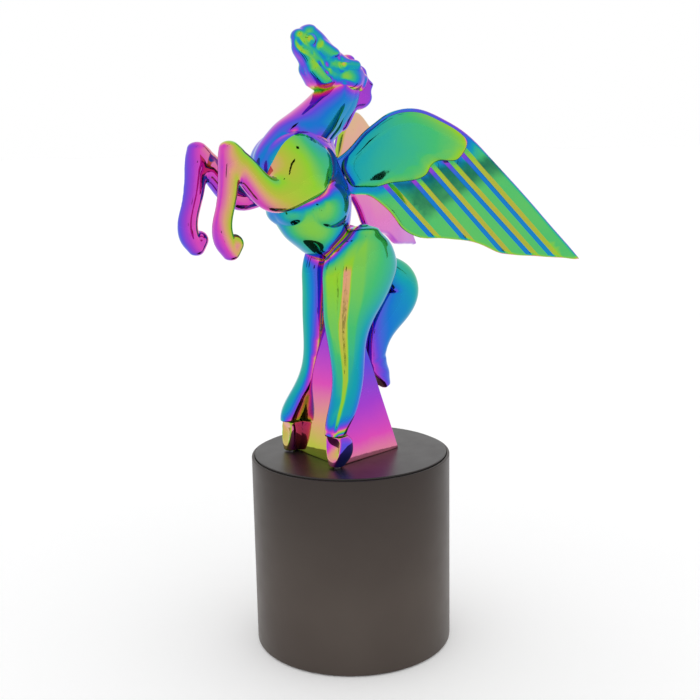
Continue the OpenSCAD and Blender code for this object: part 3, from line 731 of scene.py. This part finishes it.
def build_covert():
    P = soft_outline(COVERT, 70, 5)
    n = len(P)
    reach = np.linalg.norm(P - COVERT_MID, axis=1)
    # lip profile: how far in, how high
    lip = [(0.0, -0.25), (0.0, 0.35), (0.12, 0.85), (0.4, 1.25), (0.8, 1.55), (1.3, 1.8), (2.0, 2.03),
           (3.0, 2.22), (4.2, 2.38)]
    levels = [(1 - d / reach, h) for d, h in lip]
    last_share, last_high = levels[-1]
    for k in range(1, CROWN_RINGS + 1):
        f = 1 - k / (CROWN_RINGS + 0.5)
        levels.append((last_share * f, last_high + (COVERT_HIGH - last_high) * (1 - f ** 2.2)))
    rings = [np.column_stack([COVERT_MID + (P - COVERT_MID) * share[:, None], np.full(n, h)])
             for share, h in levels]
    start = (len(rings) - 1) * n
    F = grid_faces(len(rings), n) + [(start + j, start + (j + 1) % n, start + n) for j in range(n)]
    F.append(tuple(range(n - 1, -1, -1)))
    V = wing_space(np.vstack(rings + [[[*COVERT_MID, COVERT_HIGH + 0.002]]]))
    V[:, 1] = np.minimum(V[:, 1], -0.05)
    add_pair("covert", "casting", V, F)


build_covert()

# ---------------------------------------------------------------- pedestal
APEX_Z, APEX_X = 184.0, -8.0
PED_TOP, PED_FRONT, PED_BACK, PED_X = 180.6, 17.5, 11.5, 19.0
CORNER = 0.45        # softened corners


def build_pedestal():
    foot = np.array([[-PED_X, -PED_FRONT], [PED_X, -PED_BACK], [PED_X, PED_BACK], [-PED_X, PED_FRONT]])
    rings = []
    levels = [(DISC_TOP + 0.02, 0.35), (DISC_TOP + 0.25, 0.08), (DISC_TOP + 0.6, 0.0)]
    levels += [(z, 0.0) for z in np.linspace(DISC_TOP + 1.2, PED_TOP, 46)]
    for z, back in levels:
        f = (APEX_Z - z) / (APEX_Z - DISC_TOP)
        Q = np.array([APEX_X, 0.0]) + (foot - [APEX_X, 0.0]) * f
        ring = []
        for i in range(4):
            p, a, b = Q[i], Q[i - 1], Q[(i + 1) % 4]
            da, db = unit(a - p), unit(b - p)
            rr = min(CORNER, 0.2 * np.linalg.norm(a - p))
            p = p + (da + db) * back * 0.7
            for t in (0.0, 0.3, 0.7, 1.0):
                q = (1 - t) ** 2 * (p + da * rr) + 2 * t * (1 - t) * p + t * t * (p + db * rr)
                ring.append(q)
            start, stop = p + db * rr, b + (p - b) / np.linalg.norm(p - b) * rr
            ring += [start + (stop - start) * k / 12 for k in range(1, 12)]
        rings.append(np.column_stack([np.array(ring), np.full(len(ring), z)]))
    F = shell_faces(len(rings), len(rings[0]))
    add("pedestal_casting", np.vstack(rings), F, ["pedestal"], film="pedestal")


build_pedestal()

# ---------------------------------------------------------------- base
DRUM_R, DRUM_TOP, DISC_R, DISC_LOW, BORE_R, DECK_LOW = 45.0, 88.0, 43.5, 85.7, 42.0, 82.0


def lathe(profile, n=256):
    """Turns (radius, height) about the upright axis; the profile is a closed loop or ends on the axis."""
    P = np.array(profile, float)
    V, F = [], []
    a = np.arange(n) * 2 * math.pi / n
    idx = []
    for r, z in P:
        if r < 1e-6:
            idx.append([len(V)] * n)
            V.append((0, 0, z))
        else:
            idx.append(list(range(len(V), len(V) + n)))
            V += [(r * math.cos(t), r * math.sin(t), z) for t in a]
    pairs = [(i, i + 1) for i in range(len(P) - 1)]
    if P[0][0] > 1e-6:
        pairs.append((len(P) - 1, 0))
    for i, k in pairs:
        for j in range(n):
            q = (idx[i][j], idx[i][(j + 1) % n], idx[k][(j + 1) % n], idx[k][j])
            q = tuple(dict.fromkeys(q))
            if len(q) > 2:
                F.append(q)
    return np.array(V), F


def arc(cx, cz, r, a0, a1, k=7):
    return [(cx + r * math.cos(math.radians(a0 + (a1 - a0) * i / (k - 1))),
             cz + r * math.sin(math.radians(a0 + (a1 - a0) * i / (k - 1)))) for i in range(k)]


def build_base():
    # drum: rounded foot, dished lip, recess, open underside
    prof = [(0, DECK_LOW), (BORE_R - 0.6, DECK_LOW)] + arc(BORE_R - 0.6, DECK_LOW - 0.6, 0.6, 90, 0, 4)
    prof += [(BORE_R, 0.6), (BORE_R + 0.3, 0.3), (DRUM_R - 1.0, 0.3)]
    prof += arc(DRUM_R - 1.0, 1.3, 1.0, -80, 0, 8)
    prof += [(DRUM_R, z) for z in (8, 24, 40, 56, 72, 82)]
    prof += arc(DRUM_R - 0.45, DRUM_TOP - 0.45, 0.45, 0, 90, 7)
    prof += [(DISC_R + 0.42, DRUM_TOP), (DISC_R + 0.24, DRUM_TOP - 0.08), (DISC_R + 0.16, DRUM_TOP - 0.3),
             (DISC_R + 0.16, DISC_LOW), (0, DISC_LOW)]
    V, F = lathe(prof)
    add("drum_shell", V, F, ["base_drum"], mat="drum", flat=40)
    prof = [(0, DISC_LOW), (DISC_R - 0.2, DISC_LOW), (DISC_R, DISC_LOW + 0.2), (DISC_R, DISC_TOP - 0.34)]
    prof += arc(DISC_R - 0.34, DISC_TOP - 0.34, 0.34, 10, 88, 6)
    prof += [(DISC_R - 0.9, DISC_TOP), (DISC_R - 4, DISC_TOP), (30, DISC_TOP), (16, DISC_TOP), (0, DISC_TOP)]
    V, F = lathe(prof)
    add("disc_plate", V, F, ["top_disc"], mat="disc", flat=40)


build_base()

# ---------------------------------------------------------------- where plating builds up
def vertex_normals(V, faces):
    n = np.zeros_like(V)
    for count in (3, 4):
        f = np.array([q for q in faces if len(q) == count])
        if len(f):
            c = np.cross(V[f[:, 2]] - V[f[:, 0]], V[f[:, -1]] - V[f[:, 1]])
            for k in range(count):
                np.add.at(n, f[:, k], c)
    return unit(n)


def bends(V, faces, normals):
    """Fold and edge strength, 0 to 1, from how the surface curves in or out at each vertex."""
    e = np.array(sorted({(min(a, b), max(a, b)) for q in faces if len(q) < 5
                         for a, b in zip(q, q[1:] + q[:1])}))
    count = np.zeros(len(V))
    pull, size = np.zeros_like(V), np.zeros(len(V))
    for a, b in ((e[:, 0], e[:, 1]), (e[:, 1], e[:, 0])):
        d = V[b] - V[a]
        np.add.at(count, a, 1)
        np.add.at(pull, a, d)
        np.add.at(size, a, (d * d).sum(axis=1))
    count = np.maximum(count, 1)
    curve = 2 * (pull * normals).sum(axis=1) / np.maximum(size, 1e-6)

    def soften(x, times):
        for _ in range(times):
            y = np.zeros_like(x)
            np.add.at(y, e[:, 0], x[e[:, 1]])
            np.add.at(y, e[:, 1], x[e[:, 0]])
            x = 0.5 * x + 0.5 * y / count
        return x
    curve = soften(np.clip(curve, -1.5, 1.5), 4)
    return smoothstep(0.04, 0.5, curve), smoothstep(0.16, 0.6, -curve), soften


# pale band down the outer front of each hind leg: degrees round from the front, half width above the
# hoof and on the thigh, and the heights where it ends
BAND_TURN, BAND_THIN, BAND_WIDE = 50.0, 0.6, 2.0
BAND_LOW, BAND_HIGH = 105.5, 174.0


def shin_band(V):
    """Strength of the pale band, 0 to 1, laid on the leg's own sections."""
    Q = V * np.array([1, -np.sign(V[:, 1].mean()), 1])
    z, H = Q[:, 2], np.array(HIND)
    x, y, front, outer = [np.interp(-z, -H[:, 2], H[:, i]) for i in (0, 1, 3, 5)]
    turn = np.arctan2((y - Q[:, 1]) / outer, (x - Q[:, 0]) / front)
    middle = math.radians(BAND_TURN)
    away = np.abs(turn - middle) * np.hypot(front * math.sin(middle), outer * math.cos(middle))
    half = BAND_THIN + (BAND_WIDE - BAND_THIN) * smoothstep(112, 150, z)
    ends = smoothstep(BAND_LOW - 1.5, BAND_LOW + 1.5, z) * smoothstep(BAND_HIGH + 2, BAND_HIGH - 2, z)
    return (1 - smoothstep(0, 1, (away - half + 0.35) / 0.7)) * ends


def joints():
    """Marks each plated casting with its folds, its edges and the creases where it meets another."""
    names = [k for k, p in PIECES.items() if p["mat"] == "plating"]
    trees, normals, boxes, bare = {}, {}, {}, {}
    for k in names:
        V, F = PIECES[k]["verts"], PIECES[k]["faces"]
        normals[k] = vertex_normals(V, F)
        boxes[k] = V.min(axis=0), V.max(axis=0)
        trees[k] = BVHTree.FromPolygons([tuple(v) for v in V], F)
    for k in names:
        V, N = PIECES[k]["verts"], normals[k]
        open_air = np.ones(len(V), bool)
        for other in names:
            lo, hi = boxes[other]
            inside = np.all((V > lo - 0.1) & (V < hi + 0.1), axis=1)
            if other == k or not inside.any():
                continue
            for i in np.nonzero(inside & open_air)[0]:
                n = Vector(N[i])
                hit = trees[other].ray_cast(Vector(V[i]) + n * 0.03, n)
                if hit[0] is not None and hit[1].dot(n) > 0:
                    open_air[i] = False
        bare[k] = open_air
    for k in names:
        V, N = PIECES[k]["verts"], normals[k]
        fold, edge, soften = bends(V, PIECES[k]["faces"], N)
        if k.startswith("hindleg"):
            edge = shin_band(V)
        if k.startswith("wing"):                  # the plain inner face is left alone
            outer = N[:, 1] * np.sign(V[:, 1].mean()) > -0.2
            fold, edge = fold * outer, edge * outer
        lo, hi = boxes[k]
        near = []
        for other in names:
            if other != k:
                W = PIECES[other]["verts"]
                pick = bare[other] & np.all((W > lo - 8) & (W < hi + 8), axis=1)
                near += list(zip(W[pick], normals[other][pick]))
        meet = np.zeros(len(V))
        if near:
            tree = KDTree(len(near))
            for i, (p, _) in enumerate(near):
                tree.insert(p, i)
            tree.balance()
            for i in range(len(V)):
                p, j, d = tree.find(V[i])
                if d < 9:
                    flush = smoothstep(0.75, 0.97, float(N[i] @ near[j][1]))
                    meet[i] = math.exp(-max(d - 0.3, 0) / 2.0) * (1 - flush)
        meet = soften(meet, 2)
        if k.startswith("wing"):
            meet = meet * outer
        PIECES[k]["fold"], PIECES[k]["edge"] = np.maximum(fold, meet), edge


joints()

# ---------------------------------------------------------------- looks
def rgb(r, g, b):
    """Screen colour 0-255 to the renderer's linear scale."""
    linear = [((c / 255 + 0.055) / 1.055) ** 2.4 if c > 10 else c / 255 / 12.92 for c in (r, g, b)]
    return (*linear, 1.0)


# interference colours in order of growing film phase; the order closes on itself
RAINBOW = [(0.00, (216, 158, 118)), (0.09, (182, 184, 66)), (0.20, (142, 202, 52)), (0.33, (70, 186, 112)),
           (0.44, (24, 158, 172)), (0.55, (30, 116, 206)), (0.66, (92, 76, 216)), (0.78, (160, 62, 200)),
           (0.89, (214, 74, 178)), (1.00, (216, 158, 118))]
# the studio's main view: the way towards it, and two directions square to it, across and up
SIGHT = (-0.594, -0.783, 0.187)
ACROSS, ABOVE = (0.7945, -0.6070, -0.0184), (0.1282, 0.1380, 0.9821)
# film phase of each casting, in turns of the colours above:
# level   on a face square to the main view, half-way along the casting
# turn    gained by a face turned to the right, lost by one turned to the left
# rise    gained by a face turned up, lost by one turned down
# rim     gained by a face turned edge on
# back    gained per centimetre towards the tail
# climb   gained per centimetre of height
# fold    gained in the folds where castings meet
# edge    gained on sharp bends
FILM = {
    #               level  turn   rise   rim    back   climb  fold  edge
    "body":        (0.30, -0.05,  0.10,  0.45,  0.00,  0.06,  0.8,  0.0),
    "neck":        (0.55, -0.25,  0.05,  0.10,  0.00,  0.04,  0.3,  0.0),
    "head":        (0.22, -0.05,  0.05,  0.60,  0.00,  0.00,  0.6, -0.3),
    "mane":        (1.00, -0.25,  0.00, -0.10,  0.00,  0.00,  0.0, -0.2),
    "foreleg":     (0.04,  0.15,  0.20,  0.10,  0.05,  0.00, -0.4, -0.3),
    "foreleg_far": (0.90,  0.15,  0.05, -0.05,  0.03,  0.00, -0.4, -0.3),
    "hindleg":     (0.26,  0.05,  0.05,  0.25,  0.00, -0.03,  2.0, -0.2),
    "hindleg_far": (0.55,  0.30,  0.00,  0.15,  0.00,  0.00,  0.5,  0.0),
    "hoof":        (0.75, -0.20,  0.20,  0.15,  0.00,  0.00,  0.0,  0.2),
    "hoof_far":    (0.00, -0.15,  0.10, -0.10,  0.00,  0.00,  0.0,  0.2),
    "tail":        (0.66, -0.20,  0.00,  0.00,  0.00, -0.05,  0.3,  0.0),
    "wing":        (0.33,  0.40,  0.20,  0.00,  0.00,  0.00,  0.4, -0.3),
    "wing_far":    (1.02, -0.10,  0.10,  0.00,  0.00,  0.03,  0.0, -0.1),
    "covert":      (0.34, -0.15, -0.10, -0.30, -0.04,  0.00,  0.3, -0.5),
    "covert_far":  (0.45,  0.10,  0.10,  0.10,  0.00,  0.04,  0.3, -0.5),
    "pedestal":    (0.71, -0.12,  0.00,  0.00,  0.00, -0.07,  0.0,  0.0),
}
BOTH_SIDES_ALIKE = ("body", "head", "mane", "tail")
# the torso casting passes into the neck's film: the way it lies, where that starts, half the overlap
SECOND = {"body": ("neck", (0.5, 0.0, 0.866), 192.0, 5.0)}


def nodes_of(name):
    m = bpy.data.materials.new(name)
    m.use_nodes = True
    nt = m.node_tree
    nt.nodes.clear()
    out = nt.nodes.new("ShaderNodeOutputMaterial")
    sh = nt.nodes.new("ShaderNodeBsdfPrincipled")
    nt.links.new(sh.outputs[0], out.inputs[0])
    return m, nt, sh


def put(nt, kind, inputs=None, **props):
    n = nt.nodes.new(kind)
    for k, v in props.items():
        setattr(n, k, v)
    for k, v in (inputs or {}).items():
        s = n.inputs[k]
        if isinstance(v, bpy.types.NodeSocket):
            nt.links.new(v, s)
        else:
            s.default_value = v
    return n


def calc(nt, op, a, b=0.0):
    return put(nt, "ShaderNodeMath", {0: a, 1: b}, operation=op).outputs[0]


def plus(nt, a, b):
    return calc(nt, "ADD", a, b)


def minus(nt, a, b):
    return calc(nt, "SUBTRACT", a, b)


def times(nt, a, b):
    return calc(nt, "MULTIPLY", a, b)


def mark(nt, name):
    """A mark kept on the mesh, 0 to 1."""
    return put(nt, "ShaderNodeAttribute", attribute_name=name).outputs["Fac"]


def place_of(nt):
    return nt.nodes.new("ShaderNodeTexCoord").outputs["Object"]


def dot(nt, vec, fixed):
    return put(nt, "ShaderNodeVectorMath", {0: vec, 1: fixed}, operation="DOT_PRODUCT").outputs["Value"]


def noise(nt, vec, scale, detail=2.0, rough=0.5):
    n = put(nt, "ShaderNodeTexNoise", {"Vector": vec, "Scale": scale, "Detail": detail, "Roughness": rough})
    return n.outputs[0]


def ramp(nt, fac, stops):
    r = put(nt, "ShaderNodeValToRGB", {"Fac": fac})
    e = r.color_ramp.elements
    while len(e) < len(stops):
        e.new(0.5)
    for el, (p, c) in zip(e, sorted(stops)):
        el.position, el.color = p, c
    return r.outputs[0]


def mix(nt, fac, a, b):
    return put(nt, "ShaderNodeMix", {0: fac, 6: a, 7: b}, data_type="RGBA").outputs[2]


def surface(nt, sh, col, rough, metal, bump):
    """Joins colour, roughness and a (strength, distance, height) bump to the shader."""
    nt.links.new(col, sh.inputs["Base Color"])
    nt.links.new(rough, sh.inputs["Roughness"])
    sh.inputs["Metallic"].default_value = metal
    strength, distance, height = bump
    b = put(nt, "ShaderNodeBump", {"Strength": strength, "Distance": distance, "Height": height})
    nt.links.new(b.outputs[0], sh.inputs["Normal"])


def phase(nt, P, N, film, centre):
    """Film phase over a casting, before it is wrapped to one turn of the colours."""
    level, turn, rise, rim, back, climb, fold, edge = film
    start = level - (back * centre[0] + climb * centre[2]) / 10
    t = plus(nt, dot(nt, N, tuple(turn * a + rise * u for a, u in zip(ACROSS, ABOVE))), start)
    t = plus(nt, t, dot(nt, P, (100 * back, 0.0, 100 * climb)))
    if rim:
        square = calc(nt, "POWER", calc(nt, "ABSOLUTE", dot(nt, N, SIGHT)), 2.0)
        t = plus(nt, t, times(nt, minus(nt, 1.0, square), rim))
    for name, k in (("fold", fold), ("edge", edge)):
        if k:
            t = plus(nt, t, times(nt, mark(nt, name), k))
    return t


def near_side(nt, vec):
    """Folds a vector over the middle plane, so both sides of a casting are plated alike."""
    part = put(nt, "ShaderNodeSeparateXYZ", {0: vec})
    side = times(nt, calc(nt, "ABSOLUTE", part.outputs[1]), -1.0)
    return put(nt, "ShaderNodeCombineXYZ", {0: part.outputs[0], 1: side, 2: part.outputs[2]}).outputs[0]


def plating(name, centre):
    """Mirror-bright metal under an interference film whose thickness drifts over each casting."""
    m, nt, sh = nodes_of("rainbow_" + name)
    tc = nt.nodes.new("ShaderNodeTexCoord")
    P, N = tc.outputs["Object"], tc.outputs["Normal"]
    if name in BOTH_SIDES_ALIKE:
        P, N = near_side(nt, P), near_side(nt, N)
    t = phase(nt, P, N, FILM[name], centre)
    if name in SECOND:
        other, way, start, reach = SECOND[name]
        along = minus(nt, dot(nt, P, tuple(1000 * v for v in way)), start)
        share = put(nt, "ShaderNodeMapRange", {"Value": along, "From Min": -reach, "From Max": reach},
                    interpolation_type="SMOOTHSTEP").outputs[0]
        gap = minus(nt, phase(nt, P, N, FILM[other], centre), t)
        t = plus(nt, t, times(nt, gap, share))
    drift = minus(nt, noise(nt, P, 26.0, 2.0), 0.5)
    t = plus(nt, t, times(nt, drift, 0.10))
    fine = minus(nt, noise(nt, P, 420.0, 3.0), 0.5)
    t = plus(nt, t, times(nt, fine, 0.012))
    t = calc(nt, "FRACT", t)
    col = ramp(nt, t, [(p, rgb(*c)) for p, c in RAINBOW])
    # a scatter of pin-prick plating flaws
    v = put(nt, "ShaderNodeTexVoronoi", {"Vector": P, "Scale": 95.0, "Randomness": 1.0})
    speck = calc(nt, "LESS_THAN", v.outputs["Distance"], 0.022)
    col = mix(nt, times(nt, speck, 0.45), col, rgb(40, 40, 60))
    if name.startswith("wing"):
        # painted reflection: a swirled dark teal on the feather flats near the covert, in place of a dark
        # thing they mirror
        reflection_swirl = plus(nt, 0.25, times(nt, noise(nt, P, 110.0, 4.0, 0.6), 0.9))
        col = mix(nt, times(nt, mark(nt, "shade"), reflection_swirl), col, rgb(16, 84, 78))
    rough = plus(nt, 0.035, times(nt, noise(nt, P, 150.0, 3.0), 0.035))
    surface(nt, sh, col, rough, 1.0, (0.10, 0.0002, noise(nt, P, 240.0, 2.0)))
    return m


def satin(name, tone, tone2, rough, metal, streak, top_shade=None):
    """Dark satin finish: cloudy tone, fine turned grain, faint wear on roughness, and, where given, painted
    shade darkening towards the top.
    """
    m, nt, sh = nodes_of(name)
    P = place_of(nt)
    cloud = noise(nt, P, 22.0, 2.0, 0.5)
    col = ramp(nt, cloud, [(0.25, tone), (0.75, tone2)])
    stretched = put(nt, "ShaderNodeVectorMath", {0: P, 1: streak}, operation="MULTIPLY").outputs[0]
    grain = noise(nt, stretched, 900.0, 3.0, 0.6)
    col = mix(nt, times(nt, grain, 0.16), col, tone2)
    # painted shade: the tone darkens towards the top, as the light falls on the drum
    if top_shade:                                      # darker towards the top
        height = put(nt, "ShaderNodeSeparateXYZ", {0: P}).outputs[2]
        rise = put(nt, "ShaderNodeMapRange", {"Value": height, "From Min": 0.03, "From Max": DRUM_TOP / 1000})
        col = mix(nt, rise.outputs[0], col, top_shade)
    wear = times(nt, minus(nt, noise(nt, P, 120.0, 4.0), 0.5), 0.12)
    surface(nt, sh, col, plus(nt, rough, wear), metal, (0.12, 0.0001, grain))
    return m


def steel():
    m, nt, sh = nodes_of("zinc_steel")
    P = place_of(nt)
    col = ramp(nt, noise(nt, P, 300.0, 3.0), [(0.35, rgb(150, 152, 155)), (0.65, rgb(196, 197, 200))])
    rough = plus(nt, 0.22, times(nt, noise(nt, P, 700.0, 3.0), 0.16))
    surface(nt, sh, col, rough, 1.0, (0.2, 0.0001, noise(nt, P, 1500.0, 2.0)))
    return m


def felt():
    m, nt, sh = nodes_of("felt_cloth")
    P = place_of(nt)
    fibre = noise(nt, P, 1600.0, 5.0, 0.7)
    col = ramp(nt, fibre, [(0.3, rgb(26, 27, 29)), (0.7, rgb(58, 60, 64))])
    nt.links.new(col, sh.inputs["Base Color"])
    sh.inputs["Roughness"].default_value = 0.95
    sh.inputs["Sheen Weight"].default_value = 0.4
    b = put(nt, "ShaderNodeBump", {"Strength": 0.8, "Distance": 0.0004, "Height": fibre})
    nt.links.new(b.outputs[0], sh.inputs["Normal"])
    return m


MATS = {
    # drum: its own two tones, with painted shade towards the top
    "drum": satin("drum_finish_and_painted_shade", rgb(78, 69, 64), rgb(87, 79, 73), 0.42, 0.75, (0.25, 0.25, 1.0),
                  top_shade=rgb(60, 53, 50)),
    "disc": satin("disc_finish_look", rgb(50, 47, 46), rgb(56, 53, 52), 0.36, 0.7, (1.0, 0.3, 1.0)),
    "steel": steel(),
    "felt": felt(),
}


def put_in_scene(name, data):
    obj = bpy.data.objects.new(name, data)
    bpy.context.scene.collection.objects.link(obj)
    return obj


def make(name):
    p = PIECES[name]
    me = bpy.data.meshes.new(name)
    me.from_pydata([tuple(v) for v in p["verts"] * 0.001], [], p["faces"])
    me.update()
    me.polygons.foreach_set("use_smooth", [True] * len(me.polygons))
    if p["flat"]:
        me.set_sharp_from_angle(angle=math.radians(p["flat"]))
    if p["sharp"]:
        want = {tuple(sorted(e)) for e in p["sharp"]}
        a = me.attributes.get("sharp_edge") or me.attributes.new("sharp_edge", "BOOLEAN", "EDGE")
        for i, e in enumerate(me.edges):
            if tuple(sorted(e.vertices)) in want:
                a.data[i].value = True
    for kept in ("fold", "edge", "shade"):
        if kept in p:
            me.attributes.new(kept, "FLOAT", "POINT").data.foreach_set("value", p[kept])
    obj = put_in_scene(name, me)
    look = p["film"] if p["mat"] == "plating" else p["mat"]
    if look not in MATS:
        MATS[look] = plating(look, (p["verts"].min(axis=0) + p["verts"].max(axis=0)) / 2)
    me.materials.append(MATS[look])
    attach(obj, "root")
    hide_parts(*p["nodes"])


for piece in list(PIECES):
    make(piece)

replaced = [n for p in PIECES.values() for n in p["nodes"]]
for node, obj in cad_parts.items():
    if node not in replaced:
        obj.data.materials.clear()
        obj.data.materials.append(MATS["felt"] if node == "felt_pad" else MATS["steel"])

# ---------------------------------------------------------------- studio


def card(name, at, towards, size, turn=0):
    """Black panel that only the plating sees, facing the given point, turned about its own axis."""
    me = bpy.data.meshes.new(name)
    w, h = size[0] / 2, size[1] / 2
    me.from_pydata([(-w, -h, 0), (w, -h, 0), (w, h, 0), (-w, h, 0)], [], [(0, 1, 2, 3)])
    o = put_in_scene(name, me)
    facing = (Vector(towards) - Vector(at)).to_track_quat("Z", "Y").to_matrix().to_4x4()
    o.matrix_world = Matrix.Translation(Vector(at)) @ facing @ Matrix.Rotation(math.radians(turn), 4, "Z")
    m, nt, sh = nodes_of(name)
    black = put(nt, "ShaderNodeEmission", {"Color": (0, 0, 0, 1), "Strength": 0.0})
    nt.links.new(black.outputs[0], nt.nodes["Material Output"].inputs[0])
    nt.nodes.remove(sh)
    me.materials.append(m)
    o.visible_camera = False


def studio():
    w = bpy.data.worlds.new("studio")
    bpy.context.scene.world = w
    w.use_nodes = True
    nt = w.node_tree
    nt.nodes.clear()
    out = nt.nodes.new("ShaderNodeOutputWorld")
    bg = put(nt, "ShaderNodeBackground", {"Color": (1, 1, 1, 1), "Strength": 1.0})
    nt.links.new(bg.outputs[0], out.inputs[0])
    # dark things about the room that the plating mirrors
    middle = (-0.01, 0.0, 0.2)
    card("viewer", (-0.30, -0.40, 0.232), middle, (0.045, 0.04))
    card("stand", (-0.221, -0.356, 0.125), (-0.013, -0.014, 0.152), (0.0024, 0.10))
    card("clamp", (-0.170, -0.372, 0.075), (0.008, -0.013, 0.213), (0.015, 0.028))
    card("lamp", (-0.085, -0.12, 0.61), middle, (0.05, 0.05))
    card("boom", (-0.25, -0.182, 0.487), middle, (0.11, 0.032), turn=-25)
    # floor
    me = bpy.data.meshes.new("floor")
    me.from_pydata([(-60, -60, 0), (60, -60, 0), (60, 60, 0), (-60, 60, 0)], [], [(0, 1, 2, 3)])
    o = put_in_scene("floor", me)
    m, nt, sh = nodes_of("floor_white")
    sh.inputs["Base Color"].default_value = (0.93, 0.93, 0.93, 1)
    sh.inputs["Emission Color"].default_value = (1, 1, 1, 1)
    sh.inputs["Emission Strength"].default_value = 0.1
    sh.inputs["Roughness"].default_value = 0.8
    sh.inputs["Specular IOR Level"].default_value = 0.2
    me.materials.append(m)


studio()

# ---------------------------------------------------------------- camera
BEHIND, EYE = (-0.5936, -0.7827, 0.1875), (-0.2785, -0.3682, 0.2233)
cam = bpy.data.cameras.new("camera")
cam.lens, cam.sensor_width, cam.sensor_height = 53.85, 36, 36
cam.dof.use_dof = False
eye = put_in_scene("camera", cam)
eye.matrix_world = Matrix((*zip(ACROSS, ABOVE, BEHIND, EYE), (0, 0, 0, 1)))
bpy.context.scene.camera = eye
bpy.context.scene.view_settings.view_transform = "Standard"
